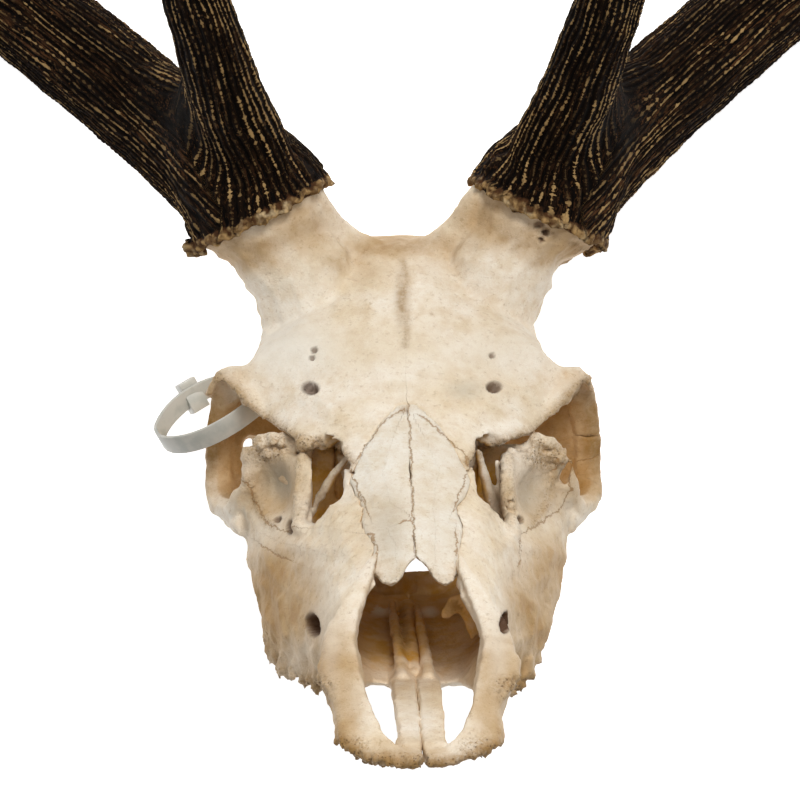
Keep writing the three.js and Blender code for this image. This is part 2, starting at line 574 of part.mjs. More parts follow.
function addNode(name, shape, material) {
  const parts = shape.subtract(floor).decompose().sort((a, b) => b.volume() - a.volume());
  const mesh = parts[0].getMesh();
  const g = closeShortEdges(mesh.vertProperties, mesh.triVerts);
  g.computeVertexNormals();
  const node = new THREE.Mesh(g, material);
  node.name = name;
  pose.add(node);
}

for (const [name, shape] of Object.entries(bones)) {
  addNode(name, shape, bone(name.startsWith('nasal') ? paleCream : cream));
}
for (const [name, shape] of Object.entries(antler)) {
  const color = name === 'burr' ? tan : 0x3a2a1f;
  addNode(`${name}_left`, shape, bone(color));
  addNode(`${name}_right`, mirrored(shape), bone(color));
}
for (const [name, shape] of Object.entries(tag)) addNode(name, shape, bone(0xd5dad6));

export default group;
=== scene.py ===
import math

import bmesh
import bpy
import numpy as np
from mathutils import Matrix, Vector
from mathutils.bvhtree import BVHTree


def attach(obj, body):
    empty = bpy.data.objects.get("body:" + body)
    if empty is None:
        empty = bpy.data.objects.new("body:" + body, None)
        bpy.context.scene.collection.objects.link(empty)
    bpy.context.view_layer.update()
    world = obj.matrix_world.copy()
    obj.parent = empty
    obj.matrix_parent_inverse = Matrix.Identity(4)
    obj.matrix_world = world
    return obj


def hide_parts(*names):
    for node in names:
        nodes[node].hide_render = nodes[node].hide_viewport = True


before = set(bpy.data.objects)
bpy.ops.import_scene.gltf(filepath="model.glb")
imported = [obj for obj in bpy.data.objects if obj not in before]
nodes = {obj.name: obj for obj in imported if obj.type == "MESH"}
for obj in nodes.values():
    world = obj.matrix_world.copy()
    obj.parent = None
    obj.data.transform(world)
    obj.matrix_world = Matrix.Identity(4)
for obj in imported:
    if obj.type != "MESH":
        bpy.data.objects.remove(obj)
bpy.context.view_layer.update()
scene = bpy.context.scene
coarse = 1.0  # larger voxels while trying things

# The skull's own frame: x to the animal's left, y from the nose backwards, z up from the palate, in mm
rest = {"tilt": 70.763, "centreY": 507.75, "height": 363.7}
tilt = math.radians(rest["tilt"])
turn = np.array([[1, 0, 0], [0, math.cos(tilt), math.sin(tilt)], [0, -math.sin(tilt), math.cos(tilt)]])
shift = np.array([0, -rest["centreY"], rest["height"]])


def toWorld(points):
    return (np.asarray(points, float) @ turn.T + shift) / 1000


def toSkull(points):
    return (np.asarray(points, float) * 1000 - shift) @ turn


# Points of a path or an outline, from their numbers in a row
def pairs(*numbers):
    return list(zip(numbers[::2], numbers[1::2]))


# Camera, set in the skull's frame: it looks at the face from in front and a little above the nose
view = {"elevation": 18.0, "azimuth": -1.6, "distance": 1800.0, "pixelsPerMm": 2.41, "aim": (0, 210, 100),
    "aimPixel": (407, 405), "side": 800, "sensor": 36.0}
up, around = math.radians(view["elevation"]), math.radians(view["azimuth"])
backDir = np.array([math.sin(around) * math.cos(up), -math.cos(around) * math.cos(up), math.sin(up)])
rightDir = np.array([math.cos(around), math.sin(around), 0])
upDir = np.cross(rightDir, -backDir)
middle = view["side"] / 2
focal = view["pixelsPerMm"] * view["distance"]
eye = (np.array(view["aim"]) + rightDir * (middle - view["aimPixel"][0]) / view["pixelsPerMm"]
       + upDir * (view["aimPixel"][1] - middle) / view["pixelsPerMm"] + backDir * view["distance"])

camera = bpy.data.objects.new("camera", bpy.data.cameras.new("camera"))
scene.collection.objects.link(camera)
camera.data.sensor_width = view["sensor"]
camera.data.lens = view["sensor"] * focal / view["side"]
camera.data.clip_start, camera.data.clip_end = 0.05, 20
axes = [Vector(turn @ axis) for axis in (rightDir, upDir, backDir)]
camera.matrix_world = Matrix.Translation(Vector(toWorld(eye))) @ Matrix(axes).transposed().to_4x4()
scene.camera = camera
print("camera set")


def toPicture(points):
    d = np.asarray(points, float) - eye
    depth = -(d @ backDir)
    return middle + focal * (d @ rightDir) / depth, middle - focal * (d @ upDir) / depth


def onPlane(px, py, axis, value):
    ray = -backDir + rightDir * (px - middle) / focal + upDir * (middle - py) / focal
    return eye + ray * (value - eye[axis]) / ray[axis]


# Smooth noise in numbers, about -1 to 1
def ripple(points, size, seed):
    q = np.asarray(points) / size + seed * 17.31
    cell = np.floor(q).astype(np.int64)
    f = q - cell
    u = f * f * f * (f * (f * 6 - 15) + 10)
    total = np.zeros(len(q))
    for corner in np.ndindex(2, 2, 2):
        c = np.array(corner)
        h = ((cell + c) * (73856093, 19349663, 83492791)).sum(1)
        h = ((h ^ (h >> 13)) * 1274126177) & 0x7FFFFFFF
        h = ((h ^ (h >> 11)) * 668265263) & 0x7FFFFFFF
        d = f - c
        pull = sum((((h >> k) & 255) / 127.5 - 1) * d[:, i] for i, k in enumerate((2, 11, 20)))
        total += np.prod(np.where(c, u, 1 - u), axis=1) * pull
    return total * 1.5


def smooth(value, low, high):
    t = np.clip((value - low) / (high - low), 0, 1)
    return t * t * (3 - 2 * t)


# Shapes in the skull's frame that are added to a mesh before it is skinned
def placed(centre, direction):
    z = Vector(direction).normalized()
    x = z.orthogonal().normalized()
    local = Matrix((x, z.cross(x), z)).transposed().to_4x4()
    return Matrix.Translation(Vector(centre)) @ local


def ball(bm, centre, radii, detail=2):
    radii = (radii,) * 3 if isinstance(radii, (int, float)) else radii
    bmesh.ops.create_icosphere(bm, subdivisions=detail, radius=1,
                               matrix=Matrix.Translation(Vector(centre)) @ Matrix.Diagonal((*radii, 1)))


def cone(bm, start, end, first, last, sides):
    start, end = Vector(start), Vector(end)
    bmesh.ops.create_cone(bm, cap_ends=True, segments=sides, radius1=first, radius2=max(last, 0.01),
                          depth=(end - start).length, matrix=placed((start + end) / 2, end - start))


def rod(bm, points, radii):
    for a, b, ra, rb in zip(points, points[1:], radii, radii[1:]):
        cone(bm, a, b, ra, rb, 16)
        ball(bm, b, rb)
    ball(bm, points[0], radii[0])


# Flat strip along a path that runs forwards
def strip(bm, points, widths, height, count):
    x, y, z = np.array(points).T
    along = np.linspace(y[0], y[-1], count)
    widths = np.interp(-along, -y, widths)
    points = np.stack([np.interp(-along, -y, x), along, np.polyval(np.polyfit(y, z, 3), along)], 1)
    for a, b, wa, wb in zip(points, points[1:], widths, widths[1:]):
        dy, dz = b[1] - a[1], b[2] - a[2]
        matrix = Matrix.Translation(Vector((a + b) / 2)) @ Matrix.Rotation(math.atan2(dz, dy), 4, "X")
        size = Matrix.Diagonal((wa + wb, math.hypot(dy, dz) + 2, height, 1))
        bmesh.ops.create_cube(bm, size=1, matrix=matrix @ size)


# Block along the camera's lines of sight, with a frayed outline, between two planes across the skull
def block(outline, near, far, fray=0.0, seed=1):
    random = np.random.default_rng(seed)
    points = []
    for (ax, ay), (bx, by) in zip(outline, outline[1:] + outline[:1]):
        count = max(1, round(math.hypot(bx - ax, by - ay) / 3.2)) if fray else 1
        for i in range(count):
            sx, sy = random.uniform(-fray, fray, 2) if fray else (0, 0)
            points.append((ax + (bx - ax) * i / count + sx, ay + (by - ay) * i / count + sy))
    bm = bmesh.new()
    verts = [bm.verts.new(toWorld(onPlane(px, py, 1, near))) for px, py in points]
    face = bm.faces.new(verts)
    made = bmesh.ops.extrude_face_region(bm, geom=[face])["geom"]
    for v, (px, py) in zip([g for g in made if isinstance(g, bmesh.types.BMVert)], points):
        v.co = toWorld(onPlane(px, py, 1, far))
    bmesh.ops.recalc_face_normals(bm, faces=bm.faces)
    bmesh.ops.triangulate(bm, faces=bm.faces)
    return held("cutter", bm)


def meshOf(name, bm):
    mesh = bpy.data.meshes.new(name)
    bm.to_mesh(mesh)
    bm.free()
    return mesh


def joined(whole, mesh):
    whole.from_mesh(mesh)
    bpy.data.meshes.remove(mesh)
    return whole


def held(name, bm):
    return bpy.data.objects.new(name, meshOf(name, bm))


def carved(bm, cutters, operation):
    piece = held("uncut", bm)
    for o in (piece, *cutters):
        scene.collection.objects.link(o)
    for cutter in cutters:
        cut = piece.modifiers.new("cut", "BOOLEAN")
        cut.operation, cut.object, cut.solver = operation, cutter, "EXACT"
    mesh = bpy.data.meshes.new_from_object(piece.evaluated_get(bpy.context.evaluated_depsgraph_get()))
    for o in (piece, *cutters):
        bpy.data.objects.remove(o)
    return joined(bmesh.new(), mesh)


standOff = 0.25  # mm from the solids to the skins


def copied(names, fatten, cuts=None, operation="DIFFERENCE"):
    whole = bmesh.new()
    for name in names:
        part = bmesh.new()
        part.from_mesh(nodes[name].data)
        bmesh.ops.remove_doubles(part, verts=part.verts, dist=1e-6)
        if cuts and name in cuts:
            part = carved(part, [block(*cut) for cut in cuts[name]], operation)
        part.normal_update()
        normals = [v.normal.copy() for v in part.verts]
        for v, n in zip(part.verts, normals):
            v.co += n * fatten / 1000
        joined(whole, meshOf("part", part))
    return whole


def grown(whole, extra):
    matrix = Matrix.Diagonal((0.001,) * 3 + (1,)) @ Matrix.Translation(Vector(shift)) @ Matrix(turn).to_4x4()
    bmesh.ops.transform(extra, verts=extra.verts, matrix=matrix)
    return joined(whole, meshOf("extra", extra))


# One closed skin over everything in the mesh
def skinned(name, bm, voxel):
    piece = held(name, bm)
    mesh = piece.data
    scene.collection.objects.link(piece)
    remesh = piece.modifiers.new("skin", "REMESH")
    remesh.mode = "VOXEL"
    remesh.voxel_size = voxel * coarse / 1000
    made = bpy.data.meshes.new_from_object(piece.evaluated_get(bpy.context.evaluated_depsgraph_get()))
    piece.modifiers.clear()
    piece.data = made
    made.name = name
    bpy.data.meshes.remove(mesh)
    dropLoose(made)
    return piece


# Keeps only the largest closed surface
def dropLoose(mesh):
    edges, count = edgeArray(mesh), len(mesh.vertices)
    label = np.arange(count)
    while True:
        low = np.minimum(label[edges[:, 0]], label[edges[:, 1]])
        before = label.copy()
        np.minimum.at(label, edges[:, 0], low)
        np.minimum.at(label, edges[:, 1], low)
        for _ in range(3):
            label = label[label]
        if (label == before).all():
            break
    names, sizes = np.unique(label, return_counts=True)
    loose = np.nonzero(label != names[sizes.argmax()])[0]
    if len(loose):
        bm = bmesh.new()
        bm.from_mesh(mesh)
        bm.verts.ensure_lookup_table()
        bmesh.ops.delete(bm, geom=[bm.verts[i] for i in loose], context="VERTS")
        bm.to_mesh(mesh)
        bm.free()


def edgeArray(mesh):
    edges = np.empty(len(mesh.edges) * 2, np.int64)
    mesh.edges.foreach_get("vertices", edges)
    return edges.reshape(-1, 2)


class Clay:  # a piece's vertices in the skull's frame, while they are moved
    def __init__(self, piece):
        self.mesh = piece.data
        self.edges = edgeArray(self.mesh)
        co = np.empty(len(self.mesh.vertices) * 3)
        self.mesh.vertices.foreach_get("co", co)
        self.points = toSkull(co.reshape(-1, 3))
        self.refresh()

    def refresh(self):
        self.mesh.vertices.foreach_set("co", toWorld(self.points).astype(np.float32).ravel())
        self.mesh.update()
        normals = np.empty(len(self.points) * 3)
        self.mesh.vertices.foreach_get("normal", normals)
        self.normals = normals.reshape(-1, 3) @ turn

    def relax(self, rounds, back=-0.53, share=1.0):
        a, b = self.edges.T
        n = len(self.points)
        degree = np.bincount(self.edges.ravel(), minlength=n)[:, None]
        for _ in range(rounds):
            for factor in (0.5, back):
                total = np.stack([np.bincount(a, self.points[b, k], n) + np.bincount(b, self.points[a, k], n)
                                  for k in range(3)], 1)
                self.points = self.points + factor * share * (total / degree - self.points)
        self.refresh()

    def bulge(self, rounds):
        kept = self.points
        self.relax(rounds, 0.5)
        out = ((kept - self.points) * self.normals).sum(1)
        self.points = kept
        self.refresh()
        return out

    def push(self, amount):
        self.points = self.points + self.normals * np.asarray(amount)[:, None]
        self.refresh()

    def look(self):
        self.px, self.py = toPicture(self.points)
        facing = self.normals @ backDir > 0.1
        seen = np.zeros(len(self.points), bool)
        starts = toWorld(self.points + self.normals * 2.5 + backDir * 1.5)
        target = Vector(toWorld(eye))
        for i in np.nonzero(facing)[0]:
            start = Vector(starts[i])
            seen[i] = bones.ray_cast(start, target - start)[0] is None
        self.seen = seen

    def grab(self, px, py, reach, dx, dy):
        x, y = toPicture(self.points)
        weight = np.exp(-((x - px) ** 2 + (y - py) ** 2) / reach ** 2)[:, None]
        self.points = self.points + weight * (dx * rightDir - dy * upDir) / view["pixelsPerMm"]

    def fray(self, amount):
        across, along = ripple(self.points, 4.5, 21), ripple(self.points, 4.2, 22) + 0.5 * ripple(self.points, 2.1, 23)
        along *= 1 - smooth(self.normals[:, 2], 0.5, 0.85)
        self.points = self.points + amount * (across[:, None] * rightDir + along[:, None] * upDir)

    def oval(self, px, py, rx, ry, lean, edge):
        a = math.radians(lean)
        dx, dy = self.px - px, self.py - py
        u, v = dx * math.cos(a) + dy * math.sin(a), dy * math.cos(a) - dx * math.sin(a)
        return 1 - smooth(np.hypot(u / rx, v / ry), edge, 1)

    def spot(self, *shape):
        return self.oval(*shape) * self.seen

    def hole(self, px, py, rx, ry, lean, edge):
        near = self.seen & (np.hypot((self.px - px) / rx, (self.py - py) / ry) < 0.9)
        if not near.any():
            return np.zeros(len(self.px))
        depth = self.points @ backDir
        return self.oval(px, py, rx, ry, lean, edge) * (depth > depth[near].max() - 22)

    def line(self, path, width):
        return np.exp(-(np.abs(self.lineDistance(path)) / width) ** 2) * self.seen

    def lineDistance(self, path):
        best = np.full(len(self.px), 1e9)
        for (x0, y0), (x1, y1) in zip(path, path[1:]):
            ex, ey = x1 - x0, y1 - y0
            t = np.clip(((self.px - x0) * ex + (self.py - y0) * ey) / (ex * ex + ey * ey), 0, 1)
            dx, dy = self.px - x0 - t * ex, self.py - y0 - t * ey
            d = np.hypot(dx, dy) * np.where(ex * dy - ey * dx > 0, 1, -1)
            best = np.where(np.abs(d) < np.abs(best), d, best)
        return best

    def keep(self, name, values):
        attribute = self.mesh.attributes.get(name) or self.mesh.attributes.new(name, "FLOAT", "POINT")
        attribute.data.foreach_set("value", np.asarray(values, np.float32))


burr = {"centre": (59.3, 311, 154), "normal": (0.44, 0.18, 0.88), "radius": 34, "pearls": 230, "seed": 4, "low": -1.2,
    "high": 5, "ends": {1: (595, 246), -1: (195, 248)}, "endPearls": 34, "spread": (10, 7, 12), "over": (2, 7),
    "ring": (20, 27)}


def burrFrame(mirror):
    normal = Vector(burr["normal"]).normalized()
    centre = Vector(burr["centre"])
    centre.x, normal.x = centre.x * mirror, normal.x * mirror
    return centre, normal


def boneTree():
    corners, faces = [], []
    for name, node in nodes.items():
        if name.startswith(("tag", "beam", "brow", "trez", "crown")):
            continue
        start = len(corners)
        corners += [v.co.copy() for v in node.data.vertices]
        faces += [[start + i for i in p.vertices] for p in node.data.polygons]
    return BVHTree.FromPolygons(corners, faces)


bones = boneTree()


def colour(code):
    parts = [int(code[i:i + 2], 16) / 255 for i in (0, 2, 4)]
    return (*[c / 12.92 if c <= 0.04045 else ((c + 0.055) / 1.055) ** 2.4 for c in parts], 1)


class Term:  # a socket that takes part in sums
    def __init__(self, sheet, socket):
        self.sheet, self.socket = sheet, socket

    def combine(self, operation, first, second):
        return self.sheet.add("ShaderNodeMath", {"operation": operation}, {0: first, 1: second})

    def __add__(self, other):
        return self.combine("ADD", self, other)

    def __sub__(self, other):
        return self.combine("SUBTRACT", self, other)

    def __rsub__(self, other):
        return self.combine("SUBTRACT", other, self)

    def __mul__(self, other):
        return self.combine("MULTIPLY", self, other)

    def __truediv__(self, other):
        return self.combine("DIVIDE", self, other)

    __radd__, __rmul__ = __add__, __mul__


class Sheet:  # the node tree of one finish
    def __init__(self, name, roughness, shine=0.5):
        self.material = bpy.data.materials.new(name)
        self.material.use_nodes = True
        self.tree = self.material.node_tree
        self.shader = self.tree.nodes["Principled BSDF"]
        self.shader.inputs["Roughness"].default_value = roughness
        self.shader.inputs["Specular IOR Level"].default_value = shine

    def add(self, kind, settings, inputs, output=0):
        node = self.tree.nodes.new(kind)
        for key, value in settings.items():
            setattr(node, key, value)
        for key, value in inputs.items():
            self.feed(node.inputs[key], value)
        return Term(self, node.outputs[output])

    def feed(self, socket, value):
        if isinstance(value, Term):
            self.tree.links.new(value.socket, socket)
        else:
            socket.default_value = value

    def place(self):
        return self.add("ShaderNodeTexCoord", {}, {}, "Object")

    def noise(self, size, detail, where=None, rough=0.5):
        inputs = {"Vector": where or self.place(), "Scale": 1000 / size, "Detail": detail, "Roughness": rough}
        return self.add("ShaderNodeTexNoise", {}, inputs)

    def cells(self, size):
        return self.add("ShaderNodeTexVoronoi", {}, {"Vector": self.place(), "Scale": 1000 / size}, "Distance")

    def step(self, value, low, high, start=0.0, stop=1.0):
        return self.add("ShaderNodeMapRange", {"interpolation_type": "SMOOTHSTEP"},
                        {"Value": value, "From Min": low, "From Max": high, "To Min": start, "To Max": stop})

    def mix(self, first, second, share, blend="MIX"):
        return self.add("ShaderNodeMix", {"data_type": "RGBA", "blend_type": blend}, {0: share, 6: first, 7: second}, 2)

    # Colours of a look, laid over each other by their shares
    def layered(self, look, ground, layers):
        base = colour(look[ground])
        for shade, share, *blend in layers:
            base = self.mix(base, colour(look[shade]), share, *blend)
        return base

    def value(self, name):
        return self.add("ShaderNodeAttribute", {"attribute_name": name}, {}, "Fac")

    def size(self, value):
        return self.add("ShaderNodeMath", {"operation": "ABSOLUTE"}, {0: value})

    def finish(self, base, bumps, roughness=None):
        self.feed(self.shader.inputs["Base Color"], base)
        if roughness is not None:
            self.feed(self.shader.inputs["Roughness"], roughness)
        normal = None
        for height, depth in bumps:
            inputs = {"Height": height, "Distance": depth / 1000, "Strength": 1.0}
            if normal is not None:
                inputs["Normal"] = normal
            normal = self.add("ShaderNodeBump", {}, inputs)
        self.feed(self.shader.inputs["Normal"], normal)
        return self.material


boneLook = {"light": "FAF1E2", "warm": "EFDFC4", "yellow": "D9BF94", "stainAndShade": "966E30", "seam": "A07848",
    "holeShadow": "4E2803", "greyShade": "ADA492", "spot": "A98655", "paleAndPaintedLight": "F4EEE2", "amberStainAndShade": "D09C42", "tan": "C9AF86",
    "pit": "6B4A28", "dust": "D2AE7A", "roughness": 0.6, "shine": 0.25}
nasalLook = {**boneLook, "light": "F3EEE3", "warm": "ECE2D1", "yellow": "DCC9A6", "spot": "C0A478", "roughness": 0.55}


def boneFinish(name, look):
    sheet = Sheet(name, look["roughness"], look["shine"])
    patch = sheet.step(sheet.noise(34, 3), 0.35, 0.68)
    cloud = sheet.step(sheet.noise(9, 4, rough=0.6), 0.42, 0.72)
    fleck = sheet.step(sheet.noise(2.2, 3, rough=0.65), 0.55, 0.75)
    speck = sheet.step(sheet.noise(1.0, 3, rough=0.7), 0.64, 0.74)
    fine = sheet.step(sheet.noise(0.55, 2, rough=0.6), 0.35, 0.7)
    mottle = sheet.step(sheet.noise(5.5, 5, rough=0.75), 0.42, 0.62)
    blot = sheet.step(sheet.noise(5, 4, rough=0.7), 0.25, 0.75)
    pores = sheet.step(sheet.cells(1.5), 0.12, 0.34, 1, 0)
    porous = sheet.value("porous")
    scrape = sheet.step(sheet.noise(1.3, 4, rough=0.75), 0.4, 0.65)
    wander = (sheet.noise(2.4, 3, rough=0.7) - 0.5) * 3.4 + (sheet.noise(7, 2) - 0.5) * 3
    seam = sheet.step(sheet.size(sheet.value("suture") + wander), 0.1, 0.55, 1, 0)
    base = sheet.layered(look, "light", [
        ("warm", patch), ("yellow", cloud * 0.42), ("spot", fleck * 0.36), ("pit", speck * (cloud * 0.35 + 0.12)),
        ("dust", fine * 0.1, "MULTIPLY"), ("dust", mottle * 0.15, "MULTIPLY"),
        # Amber: stain and painted warm shade in the nose and the vacuities
        ("amberStainAndShade", sheet.value("amberStainAndShade") * (cloud * 0.3 + 0.75)),
        # The tan colour is multiplied in as painted shade, partly warm tone
        ("tan", sheet.value("tan") * (patch * 0.3 + 0.8), "MULTIPLY"),
        # Painted light, partly paler tone, then painted grey shade
        ("paleAndPaintedLight", sheet.value("paleAndPaintedLight")), ("greyShade", sheet.value("greyShade")),
        # Stain, and painted shade in the nose, the orbits, the sockets, on the cheeks and under the palate
        ("stainAndShade", sheet.step(sheet.value("stainAndShade") * (blot * 0.55 + 0.6), 0, 1)),
        ("spot", porous * (scrape * 0.6 + 0.15)), ("pit", porous * pores * 0.55),
        # Seams are dark joints; the last layer is painted shade in the holes
        ("seam", seam * 0.72), ("holeShadow", sheet.value("holeShade"))])
    lumps, grain = sheet.noise(3.6, 3), sheet.noise(0.9, 3, rough=0.6)
    return sheet.finish(base, [(lumps, 0.34), (grain, 0.24), ((1 - pores) * porous, 0.3), (1 - seam, 0.18)])


finishes = {"bone": boneFinish("bone", boneLook), "nasal_bone": boneFinish("nasal_bone", nasalLook)}


def settle(piece, material, slot, *replaced):
    piece.data.materials.clear()
    piece.data.materials.append(material)
    piece.data.polygons.foreach_set("use_smooth", np.ones(len(piece.data.polygons), bool))
    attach(piece, "root")
    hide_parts(*replaced)
    print(piece.name, sum(len(p.vertices) - 2 for p in piece.data.polygons), "triangles")


# Marks on the face, by where they show from the camera. Ovals: px, py, half width, half height, then depth and lean,
# an amount, or the y they start at and an amount. Lines: path, width, height, and for edges how porous and how brown
face = {
    "pits": [(310, 388, 9.5, 7, 4.5, 10), (494, 387, 8.5, 6.5, 4.5, -5), (313, 625, 7.5, 13, 9, -15),
        (506, 622, 6.5, 12, 9, 10), (314, 350, 3.5, 3.5, 2, 0), (312, 358, 3, 3, 2, 0), (492, 355, 3, 3, 2, 0),
        (539, 225, 5.5, 4, 4, 0), (546, 232, 4, 4.5, 4, 0), (541, 240, 3, 3, 3, 0), (277, 519, 4, 4, 3, 0),
        (291, 527, 5, 8, 4, 0), (520, 520, 4, 4, 3, 0)],
    "hollows": [(276, 490, 22, 34, 4.5, 0), (533, 492, 21, 32, 4.5, 0), (262, 600, 14, 26, 1.6, 0),
        (548, 598, 13, 26, 1.6, 0), (300, 590, 26, 30, 1.2, 0), (520, 586, 26, 30, 1.2, 0), (345, 300, 55, 60, 1.4, 0),
        (462, 300, 52, 60, 1.4, 0)],
    "ridges": [(pairs(304, 440, 303, 470, 302, 500, 300, 530), 5, 3.2),
        (pairs(508, 450, 507, 480, 509, 510, 513, 536), 5, 3), (pairs(262, 585, 266, 615, 271, 650), 5, 1.4),
        (pairs(280, 600, 284, 630, 288, 668), 4, 1.3), (pairs(297, 630, 301, 655, 306, 682), 4, 1.2),
        (pairs(314, 650, 318, 690), 3.5, 1.1), (pairs(553, 590, 548, 615, 541, 650), 5, 1.4),
        (pairs(535, 605, 531, 640, 528, 672), 4, 1.3), (pairs(520, 640, 516, 684), 3.5, 1.1),
        (pairs(250, 560, 290, 545, 330, 552, 365, 540), 8, 1.2), (pairs(560, 556, 520, 545, 490, 552), 8, 1.2)],
    "rough": [(268, 449, 34, 20, 1.5), (545, 455, 32, 20, 1.4), (300, 441, 46, 9, 0.6), (520, 443, 46, 9, 0.6),
        (200, 245, 28, 22, 0.8), (590, 240, 28, 22, 0.8), (300, 685, 50, 16, 1.2), (520, 685, 40, 16, 1.2),
        (350, 748, 30, 16, 0.9), (480, 748, 30, 16, 0.9), (400, 760, 60, 10, 0.9)],
    # Stains, partly painted shade in the orbit sockets, the nose, the vacuities and on the cheeks
    "stainAndShades": [(456, 607, 22, 22, 0.75), (300, 228, 34, 16, 0.3), (345, 252, 34, 12, 0.3), (460, 246, 34, 14, 0.3),
        (404, 410, 12, 8, 0.5), (312, 266, 8, 30, 0.25), (206, 436, 34, 96, 0.85), (596, 436, 34, 96, 0.8),
        (404, 630, 14, 54, 0.7), (276, 590, 46, 74, 0.3), (545, 592, 42, 74, 0.24), (330, 650, 20, 60, 0.12),
        (255, 250, 60, 40, 0.25), (545, 245, 60, 40, 0.3), (402, 300, 14, 60, 0.55), (400, 245, 60, 16, 0.5),
        (330, 262, 30, 20, 0.35), (540, 262, 30, 24, 0.4), (365, 250, 22, 14, 0.4), (503, 240, 16, 12, 0.5),
        (514, 249, 14, 10, 0.45), (210, 245, 30, 14, 0.45), (585, 240, 30, 14, 0.45), (262, 470, 60, 60, 0.25),
        (545, 480, 60, 60, 0.25), (330, 545, 24, 20, 0.3), (500, 545, 22, 20, 0.3), (312, 625, 18, 30, 0.35),
        (506, 622, 16, 28, 0.35), (300, 670, 40, 26, 0.25), (400, 755, 80, 14, 0.5), (318, 500, 22, 45, 0.4),
        (492, 500, 22, 45, 0.4)],
    # Tan, multiplied in: painted shade on the cheeks, the pedicles and the sides of the face, partly warm tone
    "tans": [(300, 225, 62, 44, 0.7), (498, 225, 62, 44, 0.75), (370, 262, 60, 30, 0.3), (440, 262, 60, 30, 0.3),
        (276, 605, 72, 100, 1.0), (550, 605, 66, 100, 1.0), (330, 690, 54, 110, 0.95), (505, 690, 54, 110, 0.85),
        (403, 244, 90, 24, 0.65), (520, 320, 140, 120, 0.12), (410, 755, 70, 30, 0.4), (275, 490, 46, 56, 0.6),
        (540, 490, 50, 56, 0.5), (240, 250, 80, 36, 0.7), (555, 240, 80, 40, 0.85), (385, 540, 44, 70, 0.2),
        (445, 545, 30, 60, 0.15), (222, 440, 40, 84, 0.9), (584, 440, 40, 84, 0.9)],
    # Amber behind a depth: stain and painted warm shade inside the vacuities, the orbits and the nose
    "depths": [(328, 485, 34, 50, 211, 1.05), (495, 490, 30, 56, 211, 1.0), (236, 440, 60, 90, 240, 0.12),
        (566, 440, 60, 90, 240, 0.22), (417, 600, 62, 46, 190, 0.9), (462, 614, 40, 40, 108, 0.95),
        (411, 622, 26, 58, 112, 1.0)],
    "edges": [(pairs(214, 376, 234, 390, 256, 411, 286, 432, 307, 446, 336, 448, 352, 462), 7, 1.1, 0.8, 0.5),
        (pairs(592, 378, 578, 387, 556, 411, 531, 433, 498, 444, 480, 449, 468, 462), 7, 1.1, 0.8, 0.5),
        (pairs(341, 742, 360, 757, 402, 766, 420, 766), 9, 0.9, 0.9, 0.85),
        (pairs(428, 766, 460, 762, 498, 745), 9, 0.9, 0.9, 0.8),
        (pairs(377, 574, 391, 585, 404, 570), 6, 0.4, 0.5, 0.2),
        (pairs(430, 571, 444, 585, 456, 574), 6, 0.4, 0.5, 0.2),
        (pairs(265, 640, 285, 675, 325, 697), 10, 1.1, 0.6, 0.35),
        (pairs(560, 640, 540, 675, 505, 697), 10, 1.1, 0.6, 0.35),
        (pairs(242, 479, 250, 485, 254, 499, 259, 509, 265, 519, 272, 526), 5, 0.8, 0.7, 0.3),
        (pairs(403, 262, 406, 280, 403, 300, 407, 320, 405, 345), 5, 0.2, 0.35, 0.45),
        (pairs(306, 443, 303, 460, 301, 480, 300, 505, 298, 528), 6, 1.0, 0.6, 0.12),
        (pairs(508, 452, 510, 475, 512, 500, 514, 530), 6, 1.0, 0.6, 0.12),
        (pairs(559, 460, 553, 480, 548, 505, 532, 524), 5, 0.8, 0.7, 0.3)],
    # Painted grey shade in the hollows and on the shaded sides
    "greyShades": [(388, 530, 30, 60, 0.34), (275, 478, 24, 30, 0.8), (535, 492, 22, 34, 0.55), (222, 230, 20, 12, 0.45),
        (465, 390, 30, 16, 0.35), (545, 232, 10, 7, 0.6), (560, 470, 18, 18, 0.35)],
    # Painted light on the brows, the forehead and the bars, and pools of light on the floor of the nose, partly paler
    # tone
    "paleAndPaintedLights": [(418, 715, 24, 40, 0.4), (420, 360, 120, 60, 0.25), (290, 345, 90, 50, 0.75), (500, 350, 90, 40, 0.35),
        (380, 611, 15, 9, 0.95), (429, 612, 14, 8, 0.9), (300, 300, 60, 60, 0.2), (330, 640, 16, 90, 0.3),
        (498, 640, 16, 90, 0.3)],
    "sutures": [pairs(403, 408, 393, 414, 378, 429, 366, 446, 359, 458),
        pairs(352, 471, 355, 485, 361, 493, 366, 505, 369, 514),
        pairs(368, 535, 374, 536, 376, 546, 375, 561, 376, 576),
        pairs(408, 406, 409, 425, 410.5, 450, 411.5, 480, 413.5, 517, 415, 555), pairs(400, 523, 407, 520, 413, 521),
        pairs(420, 416, 437, 428, 453, 445, 464, 453, 469, 466), pairs(466, 475, 462, 487, 453, 510),
        pairs(456, 534, 456, 550, 455.5, 577), pairs(553, 470, 570, 462, 585, 460, 598, 455),
        pairs(518, 540, 520, 565),
        pairs(242, 479, 250, 485, 254, 499, 259, 509, 265, 519, 270, 525, 285, 532, 300, 530),
        pairs(556, 458, 566, 470, 571, 490, 560, 508, 545, 520, 525, 532), pairs(352, 470, 357, 487, 361, 500),
        pairs(262, 545, 275, 554, 290, 560)]}


# Where the bone faces a point, from its way there
def turned(clay, way, low, high):
    way = way / np.maximum(np.linalg.norm(way, axis=1), 1)[:, None]
    return smooth((clay.normals * way).sum(1), low, high)


# Parts that see little light, in the skull's frame: the nose round its axis, and the orbits
inner = {"noseAxis": 50, "noseHalf": 34, "noseFloor": 14, "noseBack": 225, "noseStart": (45, 100),
    "orbit": (56, 250, 66), "orbitReach": (24, 40), "underTop": 60}


